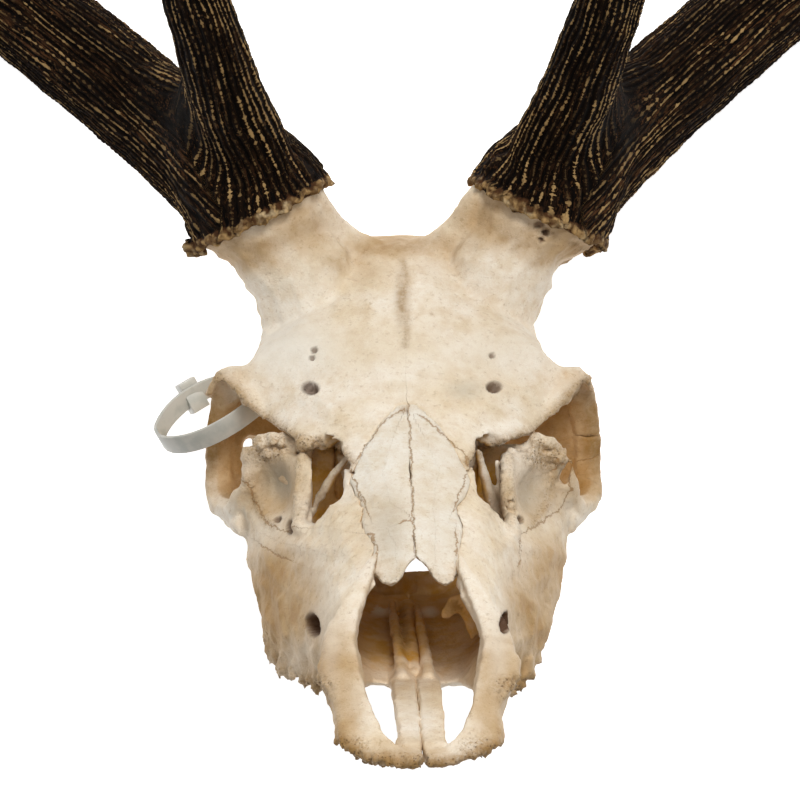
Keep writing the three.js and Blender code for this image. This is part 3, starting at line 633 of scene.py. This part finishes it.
def dressBone(clay):
    clay.look()
    p = clay.points
    wobble = ripple(p, 16, 1) * 0.45 + ripple(p, 6, 2) * 0.2 + ripple(p, 2.8, 3) * 0.09
    move = wobble * (1 - 0.6 * smooth(clay.normals[:, 2], 0.6, 0.9) * (p[:, 1] < 120))
    marks = {name: np.zeros(len(p)) for name in ("stainAndShade", "holeShade", "porous", "greyShade", "paleAndPaintedLight", "tan", "amberStainAndShade")}

    def mark(name, amount):
        marks[name] = np.maximum(marks[name], amount)

    for px, py, rx, ry, depth, lean in face["pits"]:
        move -= clay.hole(px, py, rx, ry, lean, 0.35) * depth * clay.seen
        # Painted shade: the holes' colour is darkened towards a near-black brown
        mark("holeShade", clay.hole(px, py, rx * 1.15, ry * 1.15, lean, 0.65) * min(0.6 + depth * 0.04, 0.93))
    for *oval, depth, lean in face["hollows"]:
        move -= clay.spot(*oval, lean, 0.1) * depth
    for path, width, height in face["ridges"]:
        move += clay.line(path, width) * height
    jag = np.abs(ripple(p, 3.2, 7)) + 0.6 * ripple(p, 1.9, 8)
    for *oval, amount in face["rough"]:
        mask = clay.spot(*oval, 0, 0.4)
        move += mask * jag * amount
        mark("porous", mask)
    for path, width, height, porous, brown in face["edges"]:
        mask = clay.line(path, width)
        move += mask * jag * height
        mark("porous", mask * porous)
        mark("stainAndShade", mask * brown)
    # Stains with painted shade, painted grey shade, and painted light with paler tone
    for name in ("stainAndShade", "greyShade", "paleAndPaintedLight"):
        for *oval, amount in face[name + "s"]:
            mark(name, clay.spot(*oval, 0, 0.05) * amount)
    # The tan patches multiply painted shade, partly warm tone, into the colour
    for *oval, amount in face["tans"]:
        mark("tan", clay.oval(*oval, 0, 0.25) * amount)
    for *oval, start, amount in face["depths"]:
        mark("amberStainAndShade", clay.oval(*oval, 0, 0.7) * smooth(p[:, 1], start - 4, start + 4) * amount)
    # Inside the nose and the orbits the bone is browner, partly by stain and partly by painted shade, and under the
    # palate the surfaces that face down get painted shade
    x, y, z = np.abs(p[:, 0]), p[:, 1], p[:, 2]
    inNose = smooth(y, *inner["noseStart"]) * (x < inner["noseHalf"]) * (z > inner["noseFloor"])
    inNose = inNose * (y < inner["noseBack"])
    inNose = inNose * turned(clay, np.stack([-p[:, 0], np.zeros(len(p)), inner["noseAxis"] - z], 1), 0, 0.5)
    # In the nose: stain and painted warm shade
    mark("stainAndShade", inNose * 0.3 * smooth(y, 100, 170))
    mark("amberStainAndShade", inNose * (0.25 + 0.75 * smooth(y, 85, 150)))
    # The orbits get painted shade as stain and tan
    ox, oy, oz = inner["orbit"]
    orbit = 1 - smooth(np.hypot(np.hypot(x - ox, (y - oy) * 0.9), z - oz), *inner["orbitReach"])
    orbit *= turned(clay, np.stack([ox * np.sign(p[:, 0]) - p[:, 0], oy - y, oz - z], 1), 0.1, 0.6)
    mark("stainAndShade", orbit * 0.42)
    mark("tan", orbit)
    mark("stainAndShade", smooth(-clay.normals[:, 2], 0.3, 0.9) * (z < inner["underTop"]) * 0.3)
    clay.push(move)
    best = np.full(len(p), 30.0)
    for path in face["sutures"]:
        d = clay.lineDistance(path) / view["pixelsPerMm"]
        best = np.where((np.abs(d) < np.abs(best)) & clay.seen, d, best)
    for name, values in {**marks, "suture": best}.items():
        clay.keep(name, values)


# The values are the voxel size and the rounds of smoothing
def bonePiece(name, sources, slot, values, extra=None, cuts=None, grabs=(), plates=()):
    voxel, rounds = values
    whole = copied(sources, standOff, cuts)
    if extra is not None:
        whole = joined(whole, extra) if isinstance(extra, bpy.types.Mesh) else grown(whole, extra)
    for plate in plates:
        solid = block(*plate)
        whole.from_mesh(solid.data)
        bpy.data.objects.remove(solid)
    piece = skinned(name, whole, voxel)
    clay = Clay(piece)
    clay.relax(max(4, round(rounds / coarse)))
    clay.fray(0.55)
    for grab in grabs:
        clay.grab(*grab)
    clay.refresh()
    dressBone(clay)
    settle(piece, finishes[slot], slot, *sources)


# The flare holds heights from the burr with their radii, the webs hold paths with their radii
pedicle = {
    "flare": pairs(-17, 24.8, -9, 25.6, -3, 27.4, 1.5, 30),
    "webPlane": 306,
    "webs": [(pairs(308, 198, 317, 211, 331, 230, 353, 247, 384, 255), (7, 7, 7, 7, 6.4)),
        (pairs(483, 198, 474.5, 209, 461, 229, 437, 247.5, 410, 255), (7, 7, 7, 7, 6.4)),
        (pairs(312, 222, 334, 246, 360, 258), (8, 9, 7)), (pairs(480, 222, 456, 246, 432, 258), (8, 9, 7))]}


def pedicleTops():
    bm = bmesh.new()
    for mirror in (1, -1):
        centre, normal = burrFrame(mirror)
        for (low, ra), (high, rb) in zip(pedicle["flare"], pedicle["flare"][1:]):
            cone(bm, centre + normal * low, centre + normal * high, ra, rb, 40)
    for path, radii in pedicle["webs"]:
        rod(bm, [onPlane(px, py, 1, pedicle["webPlane"]) for px, py in path], radii)
    return bm


# Free edges seen from the camera: the lower rim of the forehead over each orbit, and the ends of the nasal bones
rims = {
    "right": pairs(214, 376, 226, 380, 234, 390, 244, 404, 256, 411, 274, 423, 286, 432, 297, 439, 307, 446, 325, 449,
        336, 448, 352, 462),
    "left": pairs(592, 378, 583, 380, 578, 387, 570, 399, 556, 411, 542, 421, 531, 433, 512, 438, 498, 444, 480, 449,
        468, 462)}
below = {
    "right": pairs(352, 480, 330, 500, 240, 500, 205, 500, 205, 384),
    "left": pairs(468, 480, 490, 500, 580, 500, 604, 500, 604, 384)}
sockets = {
    "right": pairs(222, 384, 234, 390, 244, 404, 256, 411, 268, 420, 262, 430, 250, 437, 243, 446, 242, 462, 244, 476,
        240, 488, 232, 492, 229, 470, 229, 430, 226, 400),
    "left": pairs(586, 384, 578, 387, 570, 399, 556, 412, 540, 423, 548, 434, 558, 442, 564, 452, 563, 466, 558, 480,
        566, 487, 572, 470, 572, 430, 578, 400)}
lobes = {
    "right": pairs(375, 540, 376, 560, 377, 574, 383, 582, 391, 585, 399, 580, 404, 570, 410, 562, 417, 557,
        417.5, 540),
    "left": pairs(418, 540, 418.5, 557, 424, 562, 430, 571, 436, 580, 444, 585, 452, 582, 456, 574, 458, 560, 459, 540)}
nasalEnds = [(376, 535), (458.5, 535), (459, 600), (464, 612), (372, 612), (376, 600)]
premaxGrabs = {"right": [(328, 712, 30, 8, 0), (362, 640, 16, -2, 0)],
    "left": [(516, 712, 30, -12, 0), (476, 640, 18, 3, 0)]}
seamGrabs = {"right": [(357, 505, 13, 9, 0), (367, 545, 11, 6, 0)], "left": [(468, 508, 13, -11, 0)]}
pedicleGrabs = [(224, 268, 14, 10, -3), (259, 314, 16, -5, 0), (574, 266, 15, -16, -3), (562, 279, 9, -8, 0),
    (238, 282, 8, 5, 0), (268, 328, 8, -4, 0), (540, 332, 9, -4, 0)]
toothRows = {
    "right": pairs(250, 620, 262, 628, 268, 640, 270, 652, 268, 664, 277, 661, 279, 678, 286, 669, 292, 679, 300, 672,
        305, 687, 311, 681, 317, 693, 323, 686, 328, 697, 334, 690, 340, 730, 240, 730),
    "left": pairs(566, 590, 557, 600, 552, 615, 546, 632, 538, 650, 541, 662, 533, 664, 534, 680, 526, 674, 522, 690,
        516, 684, 511, 697, 506, 688, 500, 694, 494, 730, 600, 730, 600, 590)}
temples = {
    "right": pairs(263, 334, 259, 349, 252, 361, 247, 365, 240, 366.5, 230, 366.5, 222, 360, 238, 344, 254, 332),
    "left": pairs(538, 334, 541, 349, 547, 357, 554, 363, 561, 366.5, 570, 367, 579, 367, 575, 356, 560, 340, 548, 330)}
browTips = [(pairs(248, 366, 235, 366, 226, 367.5, 219, 371, 214, 377, 209, 385, 205, 397, 212, 396, 217, 385,
    226, 377, 242, 375), 248, 259, 0, 1), (pairs(562, 367, 578, 367.5, 584, 371, 589, 378, 592, 384, 595, 391,
    590, 391, 584, 380, 568, 375), 246, 259, 0, 1)]
bars = {
    "height": 8.6,
    "count": 24,
    "right": ([(-4.8, 110, 14.5), (-4.8, 96, 19.5), (-4.8, 80, 22.5), (-4.8, 61, 24.2), (-4.6, 44, 25.2),
        (-4.2, 26, 26), (-4, 12, 26.5)], (3.4, 4.2, 4.4, 4.4, 4.1, 3.6, 3.4)),
    "left": ([(5, 110, 14.5), (5, 96, 19.5), (5, 80, 22.5), (5, 61, 24.2), (5, 44, 25.2), (4.8, 26, 26),
        (4.6, 12, 26.5)], (3.4, 4.2, 4.4, 4.4, 4.3, 4.2, 4.2))}
belowLobes = pairs(362, 574, 377, 574, 383, 582, 391, 585, 399, 580, 404, 570, 410, 562, 417, 557, 424, 562, 430, 571,
    436, 580, 444, 585, 452, 582, 456, 574, 472, 574, 472, 616, 362, 616)
noseRims = {
    "right": pairs(378, 577, 376, 584, 369, 590, 365, 600, 361.5, 612, 359, 626, 358, 640, 400, 640, 400, 577),
    "left": pairs(454, 575, 456, 584, 459, 590, 463, 600, 468, 610, 475, 624, 480, 640, 440, 640, 440, 575)}
fissures = {
    "right": pairs(361, 687, 370, 684, 384, 684, 393, 688, 395, 700, 398, 715, 401, 730, 400, 738, 396, 743, 388, 739,
        381, 731, 374, 718, 367, 703),
    "left": pairs(438, 689, 446, 685, 458, 684, 470, 687, 477, 690, 475, 705, 470, 719, 464, 731, 456, 740, 447, 744,
        442, 738, 441.5, 725, 440, 705)}
frontEdges = {
    "right": pairs(322, 744, 341, 743, 350, 751, 362, 758, 382, 763, 402, 767, 414, 768, 421, 764, 422, 757, 418, 748,
        424, 748, 424, 800, 322, 800),
    "left": pairs(418, 748, 424, 749, 428, 756, 429, 765, 440, 766, 460, 762, 480, 755, 497, 746, 520, 744, 520, 800,
        418, 800)}
seeThrough = [(243, 452), (241, 446), (243, 440), (248, 436), (254, 437), (255, 444), (252, 449), (248, 452)]
platesIn = {
    "right": [(pairs(220, 396, 300, 396, 300, 438, 256, 437, 248, 436, 243, 440, 241, 446, 243, 452, 262, 454,
        264, 506, 226, 500), 263, 266, 0.5, 11),
        (pairs(360, 574, 404, 572, 419.5, 570.5, 419.5, 640, 360, 640), 203, 206, 0, 1), (pairs(240, 455, 245, 452,
        251, 449, 255, 442, 254, 437, 260, 434, 266, 436, 271, 431, 277, 434, 285, 432, 291, 437, 299, 441, 302, 452,
        298, 468, 284, 463, 270, 466, 256, 462, 251, 466, 244, 461), 221, 228.5, 1.3, 14),
        (pairs(246, 470, 252, 466, 262, 466, 262, 480, 250, 482, 253, 476, 247, 476), 223, 229, 0.8, 15)],
    "left": [(pairs(590, 396, 500, 396, 500, 446, 545, 470, 556, 500, 586, 500), 263, 266, 0.5, 12),
        (pairs(415.5, 570.5, 432, 571, 474, 574, 474, 640, 415.5, 640), 203, 206, 0, 1), (pairs(506, 456, 509, 448,
        516, 444, 524, 444, 529, 440, 531, 434, 538, 432, 544, 435, 552, 436, 557, 444, 558, 452, 566, 456, 568, 461,
        559, 464, 551, 462, 547, 468, 536, 465, 524, 470, 511, 468), 220, 228.5, 1.3, 16), (pairs(496, 588, 470, 594,
        458, 593, 449, 598, 443, 608, 440, 617, 449, 618, 458, 611, 463, 620, 468, 632, 472, 642, 477, 636, 496, 622),
        117, 120.5, 0.9, 13)]}
boneValues = {"front": (0.85, 12), "nasal": (0.8, 12), "face": (1.05, 6), "forehead": (1.15, 14), "back": (1.7, 14)}


# Lumps on the ragged top of the lacrimal bone, splinters in the opening beside it and bars inside the nose
def faceShapes(side):
    bm = bmesh.new()
    if side == "right":
        lumps = [(262, 444, 221, 2.2), (272, 440, 220, 2.6), (283, 441, 219, 2.4), (293, 447, 218, 2.4),
            (268, 453, 220, 2.0), (281, 452, 219, 2.2)]
        rods = [(pairs(347, 458, 337, 470, 327, 485, 318, 500, 311, 516), 200, (1.3, 1.6, 1.9, 1.7, 1.4)),
            (pairs(306, 520, 309, 530, 313, 536), 188, (2.2, 2.6, 2.4)),
            (pairs(308, 443, 306, 456, 305, 476, 303, 500, 301, 528), 214, (2.6, 2.4, 2.0, 1.9, 2.2)),
            (pairs(301, 444, 299, 456, 297, 470), 219, (2.4, 2.2, 1.4)),
            (pairs(252, 455, 244, 456, 241, 460), 228, (1.6, 1.3, 0.7)),
            (pairs(254, 466, 248, 468, 246, 474), 228, (1.5, 1.1, 0.6))]
    else:
        lumps = [(518, 451, 219, 2.4), (534, 441, 220, 2.4), (546, 442, 221, 2.6), (536, 453, 219, 2.2),
            (549, 455, 220, 1.8)]
        rods = [(pairs(478, 452, 484, 474, 492, 500, 500, 522, 506, 534), 200, (1.3, 2.4, 2.8, 2.2, 1.6)),
            (pairs(497, 462, 500, 485, 504, 510, 508, 530), 204, (1.2, 1.6, 1.8, 1.6)),
            (pairs(511, 452, 512, 460, 513, 475, 513, 500, 514, 530), 211, (2.2, 2.6, 2.4, 2.4, 2.4)),
            (pairs(552, 457, 561, 457, 567, 460), 228, (1.8, 1.4, 0.7))]
    for px, py, y, size in lumps:
        ball(bm, onPlane(px, py, 1, y), (size, size * 1.3, size * 0.8))
    for path, y, radii in rods:
        rod(bm, [onPlane(px, py, 1, y + i * 1.5) for i, (px, py) in enumerate(path)], radii)
    troughs = {
        "right": pairs(392, 604, 394, 620, 397, 640, 400, 660, 402, 678),
        "left": pairs(417, 607, 420, 625, 424, 645, 427, 665, 429, 678)}
    rod(bm, [onPlane(px, py, 2, 24) for px, py in troughs[side]], (1.6, 2.0, 2.2, 2.4, 2.6))
    if side == "right":
        rod(bm, [onPlane(px, py, 2, 20) for px, py in ((408, 606), (410, 640), (415, 678))], (3.4, 3.6, 3.8))
    return bm


for side in ("left", "right"):
    front, nasal = "premaxilla_" + side, "nasal_" + side
    ends = copied([front], 0.1, {front: [(lobes[side], 40, 112, 0.7, 8)]}, "INTERSECT")
    lobe = meshOf("lobe", ends)
    bar = bmesh.new()
    strip(bar, *bars[side], bars["height"], bars["count"])
    cuts = [(nasalEnds, 52, 120), (noseRims[side], 50, 110), (fissures[side], -20, 110, 0.3, 6),
            (frontEdges[side], -30, 60, 0.9, 9)]
    bonePiece("premaxilla_bone_" + side, [front], "bone", boneValues["front"], bar, {front: cuts},
              premaxGrabs[side] + seamGrabs[side])
    bonePiece("nasal_bone_" + side, [nasal], "nasal_bone", boneValues["nasal"], lobe,
              {nasal: [(belowLobes, 52, 135, 0.6, 15)]}, seamGrabs[side])
    names = [bone + side for bone in ("maxilla_", "lacrimal_", "zygomatic_")]
    socket = (sockets[side], 150, 258, 1.2, 3)
    cuts = [[(noseRims[side], 50, 110), (fissures[side], 20, 125, 0.3, 6), (toothRows[side], 50, 215, 0.9, 17)],
            [socket], [socket, (seeThrough, 270, 312)]]
    bonePiece("face_bones_" + side, names, "bone", boneValues["face"], faceShapes(side), dict(zip(names, cuts)),
              seamGrabs[side], platesIn[side])
cuts = {"frontal_" + side: [(rims[side] + below[side], 150, 256, 1.3, 5), (temples[side], 200, 290)] for side in rims}
bonePiece("forehead", ["frontal_left", "frontal_right"], "bone", boneValues["forehead"], pedicleTops(), cuts,
          pedicleGrabs, browTips)
cuts = [(seeThrough, 290, 330)] + [(temples[side], 214, 290) for side in temples]
bonePiece("braincase_bone", ["braincase"], "bone", boneValues["back"], cuts={"braincase": cuts})
print("bones done")

# Antlers, by the centre lines of the beam and tines, in the skull's frame
antler = {
    "beam": ([(61, 314, 156), (90, 336, 178), (141, 380, 210), (211, 430, 256), (286, 472, 319), (341, 500, 392),
        (372, 513, 474), (382, 512, 562), (372, 498, 650), (352, 476, 728)], 24, 19.5),
    "brow": ([(56, 302, 156), (64, 300, 186), (73.5, 287, 211), (79.5, 271, 236.5), (86, 254, 262), (92, 236, 290),
        (97, 216, 322), (100, 199, 358), (101, 187, 396)], 17.5, 3.5),
    "trez": ([(372, 513, 456), (358, 480, 468), (348, 446, 488), (342, 416, 518), (340, 398, 556), (340, 390, 596)],
        14.5, 3),
    "crownFront": ([(354, 478, 718), (352, 448, 764), (344, 420, 806), (332, 400, 852)], 13, 3),
    "crownBack": ([(352, 476, 720), (336, 482, 776), (322, 488, 828), (312, 488, 880)], 13.5, 3),
    "crownOuter": ([(354, 474, 718), (376, 476, 768), (392, 478, 812), (398, 474, 858)], 12, 3)}


def centreLine(points):
    steps = max(3, 90 // (len(points) - 1))
    p = np.array([2 * np.array(points[0]) - points[1], *points, 2 * np.array(points[-1]) - points[-2]], float)
    out = []
    for i in range(1, len(p) - 2):
        for t in np.linspace(0, 1, steps, endpoint=False):
            a, b, c, d = p[i - 1:i + 3]
            curve = 2 * b + (c - a) * t + (2 * a - 5 * b + 4 * c - d) * t * t + (3 * b - a - 3 * c + d) * t ** 3
            out.append(0.5 * curve)
    return np.array(out + [p[-2]])


lineGap = 2000  # what each line's lengths start at is this times its place in the list


# For each vertex the nearest line: distance along it, angle round it and distance from it
def aroundLines(points, mirror, names):
    best = np.full(len(points), 1e9)
    along, away, angle = (np.zeros(len(points)) for _ in range(3))
    radius = np.ones(len(points))
    for name in names:
        path, wide, thin = antler[name]
        line = centreLine([(mirror * x, y, z) for x, y, z in path])
        lengths = np.concatenate([[0], np.cumsum(np.linalg.norm(np.diff(line, axis=0), axis=1))])
        tangent = np.gradient(line, axis=0)
        tangent /= np.linalg.norm(tangent, axis=1)[:, None]
        first = np.zeros_like(line)
        first[0] = np.cross(tangent[0], (0.3, 1, 0.2))
        for i in range(len(line)):
            previous = first[max(i - 1, 0)]
            flat = previous - tangent[i] * (previous @ tangent[i])
            first[i] = flat / np.linalg.norm(flat)
        second = np.cross(tangent, first)
        for start in range(0, len(points), 20000):
            block = slice(start, start + 20000)
            d = points[block, None] - line[None]
            k = (d ** 2).sum(2).argmin(1)
            near = d[np.arange(len(k)), k]
            s = lengths[k] + (near * tangent[k]).sum(1)
            x, y = (near * first[k]).sum(1), (near * second[k]).sum(1)
            r = wide + (thin - wide) * (np.clip(s / lengths[-1], 0, 1) ** (1 if name == "beam" else 1.6))
            score = np.hypot(x, y) / r + np.maximum(0, -s) / r
            take = score < best[block]
            for target, values in ((along, s + lineGap * list(antler).index(name)), (away, np.hypot(x, y)),
                                   (angle, np.arctan2(y, x)), (radius, r), (best, score)):
                target[block] = np.where(take, values, target[block])
    return along, away, angle, radius


antlerLook = {"valley": "080504", "ground": "180E07", "brown": "553822", "crumb": "6E4E30", "tan": "BF9C69",
    "cream": "DFC8A0", "roughness": 0.8, "shine": 0.07}


def antlerFinish(look):
    sheet = Sheet("antler", look["roughness"], look["shine"])
    flow = sheet.add("ShaderNodeAttribute", {"attribute_name": "flow"}, {}, "Vector")

    def stretched(share):
        return sheet.add("ShaderNodeVectorMath", {"operation": "MULTIPLY"}, {0: flow, 1: (1, 1, share)})

    def inRow(step, along, offset):
        return sheet.add("ShaderNodeCombineXYZ", {}, {0: index * step, 1: along, 2: offset})

    split = sheet.add("ShaderNodeSeparateXYZ", {}, {0: flow})
    x, y, z = (Term(sheet, split.socket.node.outputs[i]) for i in range(3))
    angle = sheet.add("ShaderNodeMath", {"operation": "ARCTAN2"}, {0: y, 1: x})
    phase = angle * sheet.value("rows") / (2 * math.pi) + sheet.value("sway")
    index = sheet.add("ShaderNodeMath", {"operation": "FLOOR"}, {0: phase})
    away = sheet.size(phase - index - 0.5)
    longer, calm = sheet.value("pearls"), sheet.value("calm")
    dash = sheet.noise(1.7, 1, inRow(0.0137, z * (longer + 0.2), 0.0))
    some = sheet.step(sheet.noise(9, 2, inRow(0.0171, z * 0.3, 0.004)), 0.44, 0.6)
    lump = sheet.step(dash - away * 1.25 + some * 0.1, 0.42, 0.5) * (some * 0.85 + 0.12) * (1 - calm * 0.85)
    streak = sheet.step(sheet.noise(1.1, 3, stretched(0.07), 0.7), 0.5, 0.62)
    tone = sheet.step(sheet.noise(13, 3, stretched(0.3)), 0.4, 0.62)
    ridge = sheet.step(away, 0.42, 0.18) * (1 - calm * 0.8)
    crumb = sheet.step(sheet.noise(1.3, 3, stretched(0.45), 0.65), 0.6, 0.68)
    strength = sheet.step(longer + tone * 0.6, 0.3, 1.2, 0.4, 0.95)
    crusted = sheet.step(sheet.value("crust") + (sheet.noise(2.5, 3) - 0.5) * 1.1, 0.4, 0.75)
    worn = crusted * sheet.value("worn")
    base = sheet.layered(look, "valley", [
        ("ground", ridge), ("brown", streak * (tone * 0.8 + 0.12) * (1.3 - longer * 0.8)),
        ("crumb", crumb * (tone * 0.6 + 0.4)), ("tan", lump * strength), ("brown", crusted * 0.9),
        ("tan", worn * sheet.step(sheet.noise(3.5, 2), 0.42, 0.6, 0.25, 0.9)),
        ("cream", worn * sheet.step(sheet.noise(6, 2), 0.5, 0.7) * 0.6)])
    return sheet.finish(base, [(streak, 0.25), (ridge, 0.5), (lump, 0.5), (crumb, 0.3), (sheet.noise(0.8, 2), 0.1)])


antlerMaterial = antlerFinish(antlerLook)
rows = {"beam": 56, "brow": 32, "trez": 32, "crownFront": 30, "crownBack": 30, "crownOuter": 28}


def dressAntler(clay, mirror, names, base):
    along, away, angle, radius = aroundLines(clay.points, mirror, names)
    tube = np.stack([away * np.cos(angle), away * np.sin(angle), along], 1)
    count = np.array(list(rows.values()))[np.clip(along // lineGap, 0, len(rows) - 1).astype(int)]
    centre, normal = (np.array(v) for v in burrFrame(mirror))
    sway = ripple(tube * (1, 1, 0.25), 13, 16) * 0.9 + ripple(tube * (1, 1, 0.3), 5, 17) * 0.25
    phase = angle * count / (2 * math.pi) + sway
    ridge = np.cos(2 * math.pi * (phase - np.floor(phase) - 0.5))
    bead = ripple(tube * (1, 1, 0.4), 2.6, 13)
    knobs = ripple(clay.points, 14, 18)
    calm = 1 - smooth(np.linalg.norm(clay.points - np.array(fork["centre"]) * (mirror, 1, 1), axis=1), 12, 30)
    offset = clay.points - centre
    over = offset @ normal
    ring = np.linalg.norm(offset - over[:, None] * normal, axis=1)
    crust = (1 - smooth(over, *burr["over"])) * smooth(ring, *burr["ring"]) if base else np.zeros(len(over))
    tipWear = smooth(radius, 9, 4)
    brow = (along > lineGap) & (along < 2 * lineGap)
    relief = (ridge * 0.42 + bead * 0.55 + knobs * 0.5) * (1 - crust) * (1 - calm * 0.7) * np.clip(radius / 12, 0.25, 1)
    clay.push(relief + crust * ripple(clay.points, 3.4, 15) * 0.9)
    clay.keep("sway", sway)
    clay.keep("rows", count)
    clay.keep("crust", np.maximum(crust * (0.8 + 0.4 * ripple(clay.points, 4, 14)), tipWear * 0.3))
    clay.keep("pearls", np.where(brow, 1.0, 0.42))
    clay.keep("calm", calm)
    clay.keep("worn", smooth(clay.bulge(6) + ripple(clay.points, 5, 24) * 0.12, 0.0, 0.4))
    flow = clay.mesh.attributes.new("flow", "FLOAT_VECTOR", "POINT")
    flow.data.foreach_set("vector", (tube / 1000).astype(np.float32).ravel())


def burrShape(mirror):
    bm = bmesh.new()
    centre, normal = burrFrame(mirror)
    side = normal.orthogonal().normalized()
    across = normal.cross(side)
    wide = burr["radius"] - 1.5
    cone(bm, centre + normal * (burr["low"] + 1), centre + normal * 1, wide - 3, wide, 48)
    cone(bm, centre + normal * 1, centre + normal * 10, wide, wide - 2.5, 48)
    random = np.random.default_rng(burr["seed"] + (mirror > 0))
    for i in range(burr["pearls"]):
        a = 2 * math.pi * (i + random.uniform(-0.4, 0.4)) / burr["pearls"]
        lift, size = random.uniform(burr["low"], burr["high"]), random.uniform(1.0, 2.1)
        r = wide - abs(lift - 1) * 0.3 + random.uniform(-0.6, 0.5)
        ball(bm, centre + normal * lift + (side * math.cos(a) + across * math.sin(a)) * r, size, 1)
    px, py = burr["ends"][mirror]
    for _ in range(burr["endPearls"]):
        dx, dy, back = random.uniform(-1, 1, 3) * burr["spread"]
        ball(bm, onPlane(px + dx, py + dy, 1, burr["centre"][1] + back), random.uniform(1.6, 2.4), 1)
    return bm


antlerValues = {"base": 1.1, "top": 1.7}
fork = {
    "centre": (88, 308, 202),
    "blend": (86, 314, 200),
    "reach": (28, 52),
    "rounds": 70,
    "webs": [((80, 317, 188), (114, 354, 198), 22, 17), ((81, 314, 192), (83, 288, 228), 19, 10)]}


def antlerPiece(name, lines, mirror, base, nodeNames, whole):
    piece = skinned(name, whole, antlerValues["base" if base else "top"])
    clay = Clay(piece)
    clay.relax(round(10 / coarse), -0.5)
    if base:
        away = np.linalg.norm(clay.points - np.array(fork["blend"]) * (mirror, 1, 1), axis=1)
        centre, normal = (np.array(v) for v in burrFrame(mirror))
        share = (1 - smooth(away, *fork["reach"])) * smooth((clay.points - centre) @ normal, 8, 14)
        clay.relax(round(fork["rounds"] / coarse ** 2), 0.5, share[:, None])
    dressAntler(clay, mirror, lines, base)
    settle(piece, antlerMaterial, "antler", *nodeNames)


for side, mirror in (("left", 1), ("right", -1)):
    shapes = burrShape(mirror)
    for start, end, first, last in fork["webs"]:
        cone(shapes, (start[0] * mirror, *start[1:]), (end[0] * mirror, *end[1:]), first, last, 24)
    names = [n + side for n in ("beam_lower_", "brow_tine_")]
    whole = grown(copied(names, standOff), shapes)
    antlerPiece("antler_base_" + side, ["beam", "brow"], mirror, True, [*names, "burr_" + side], whole)
    names = [n + side for n in ("beam_middle_", "beam_upper_", "trez_tine_", "crown_front_tine_", "crown_back_tine_",
                                "crown_outer_tine_")]
    lines = ["beam", "trez", "crownFront", "crownBack", "crownOuter"]
    antlerPiece("antler_top_" + side, lines, mirror, False, names, copied(names, standOff))
print("antlers done")

# Cable tie, with nothing printed on it
tie = {"shade": "CBC9C1", "haze": "A9AEA8", "roughness": 0.35, "soft": 0.15, "softReach": 0.002, "bevel": 0.0003}


def tieFinish():
    sheet = Sheet("tag_plastic", tie["roughness"])
    base = sheet.layered(tie, "shade", [("haze", sheet.step(sheet.noise(6, 3), 0.4, 0.7) * 0.5)])
    scuff = sheet.step(sheet.noise(1.0, 4, rough=0.7), 0.55, 0.75)
    sheet.shader.inputs["Subsurface Weight"].default_value = tie["soft"]
    sheet.shader.inputs["Subsurface Radius"].default_value = (tie["softReach"],) * 3
    return sheet.finish(base, [(scuff, 0.05)], scuff * 0.2 + tie["roughness"])


tieMaterial = tieFinish()
for name in ("tag_strap", "tag_head"):
    bm = copied([name], 0)
    bmesh.ops.join_triangles(bm, faces=bm.faces, angle_face_threshold=0.7, angle_shape_threshold=0.7)
    piece = bpy.data.objects.new(name.replace("tag", "tie"), meshOf(name, bm))
    scene.collection.objects.link(piece)
    bevel = piece.modifiers.new("edges", "BEVEL")
    bevel.width, bevel.segments = tie["bevel"], 2
    bevel.limit_method, bevel.angle_limit = "ANGLE", math.radians(50)
    settle(piece, tieMaterial, "tag_plastic", name)
print("tie done")

# White floor, soft light from above the camera
studio = {
    "floor": "FFFFFF",
    "glow": 0.85,
    "world": 0.1,
    "warmth": (1, 0.985, 0.96),
    "lamps": [("key", 30, 0.9, (0.35, 0.75, 2.0)), ("fill", 9, 1.2, (-0.15, -0.2, 2.4)),
        ("side", 3, 1.0, (-1.4, 0.9, 1.4))]}
bpy.ops.mesh.primitive_plane_add(size=12, location=(0, 0, 0))
floor = bpy.context.object
floor.name = "floor"
floorSheet = Sheet("floor", 0.9)
floorSheet.shader.inputs["Base Color"].default_value = colour(studio["floor"])
floorSheet.shader.inputs["Emission Color"].default_value = colour(studio["floor"])
floorSheet.shader.inputs["Emission Strength"].default_value = studio["glow"]
floor.data.materials.append(floorSheet.material)
aim = Vector(toWorld((0, 180, 80)))
for name, power, size, spot in studio["lamps"]:
    light = bpy.data.objects.new(name, bpy.data.lights.new(name, "AREA"))
    light.data.energy, light.data.size, light.data.color = power, size, studio["warmth"]
    light.location = spot
    light.rotation_mode = "QUATERNION"
    light.rotation_quaternion = (aim - Vector(spot)).to_track_quat("-Z", "Y")
    scene.collection.objects.link(light)
world = bpy.data.worlds.new("studio")
scene.world = world
world.use_nodes = True
world.node_tree.nodes["Background"].inputs["Color"].default_value = (1, 1, 1, 1)
world.node_tree.nodes["Background"].inputs["Strength"].default_value = studio["world"]
scene.view_settings.view_transform = "Standard"
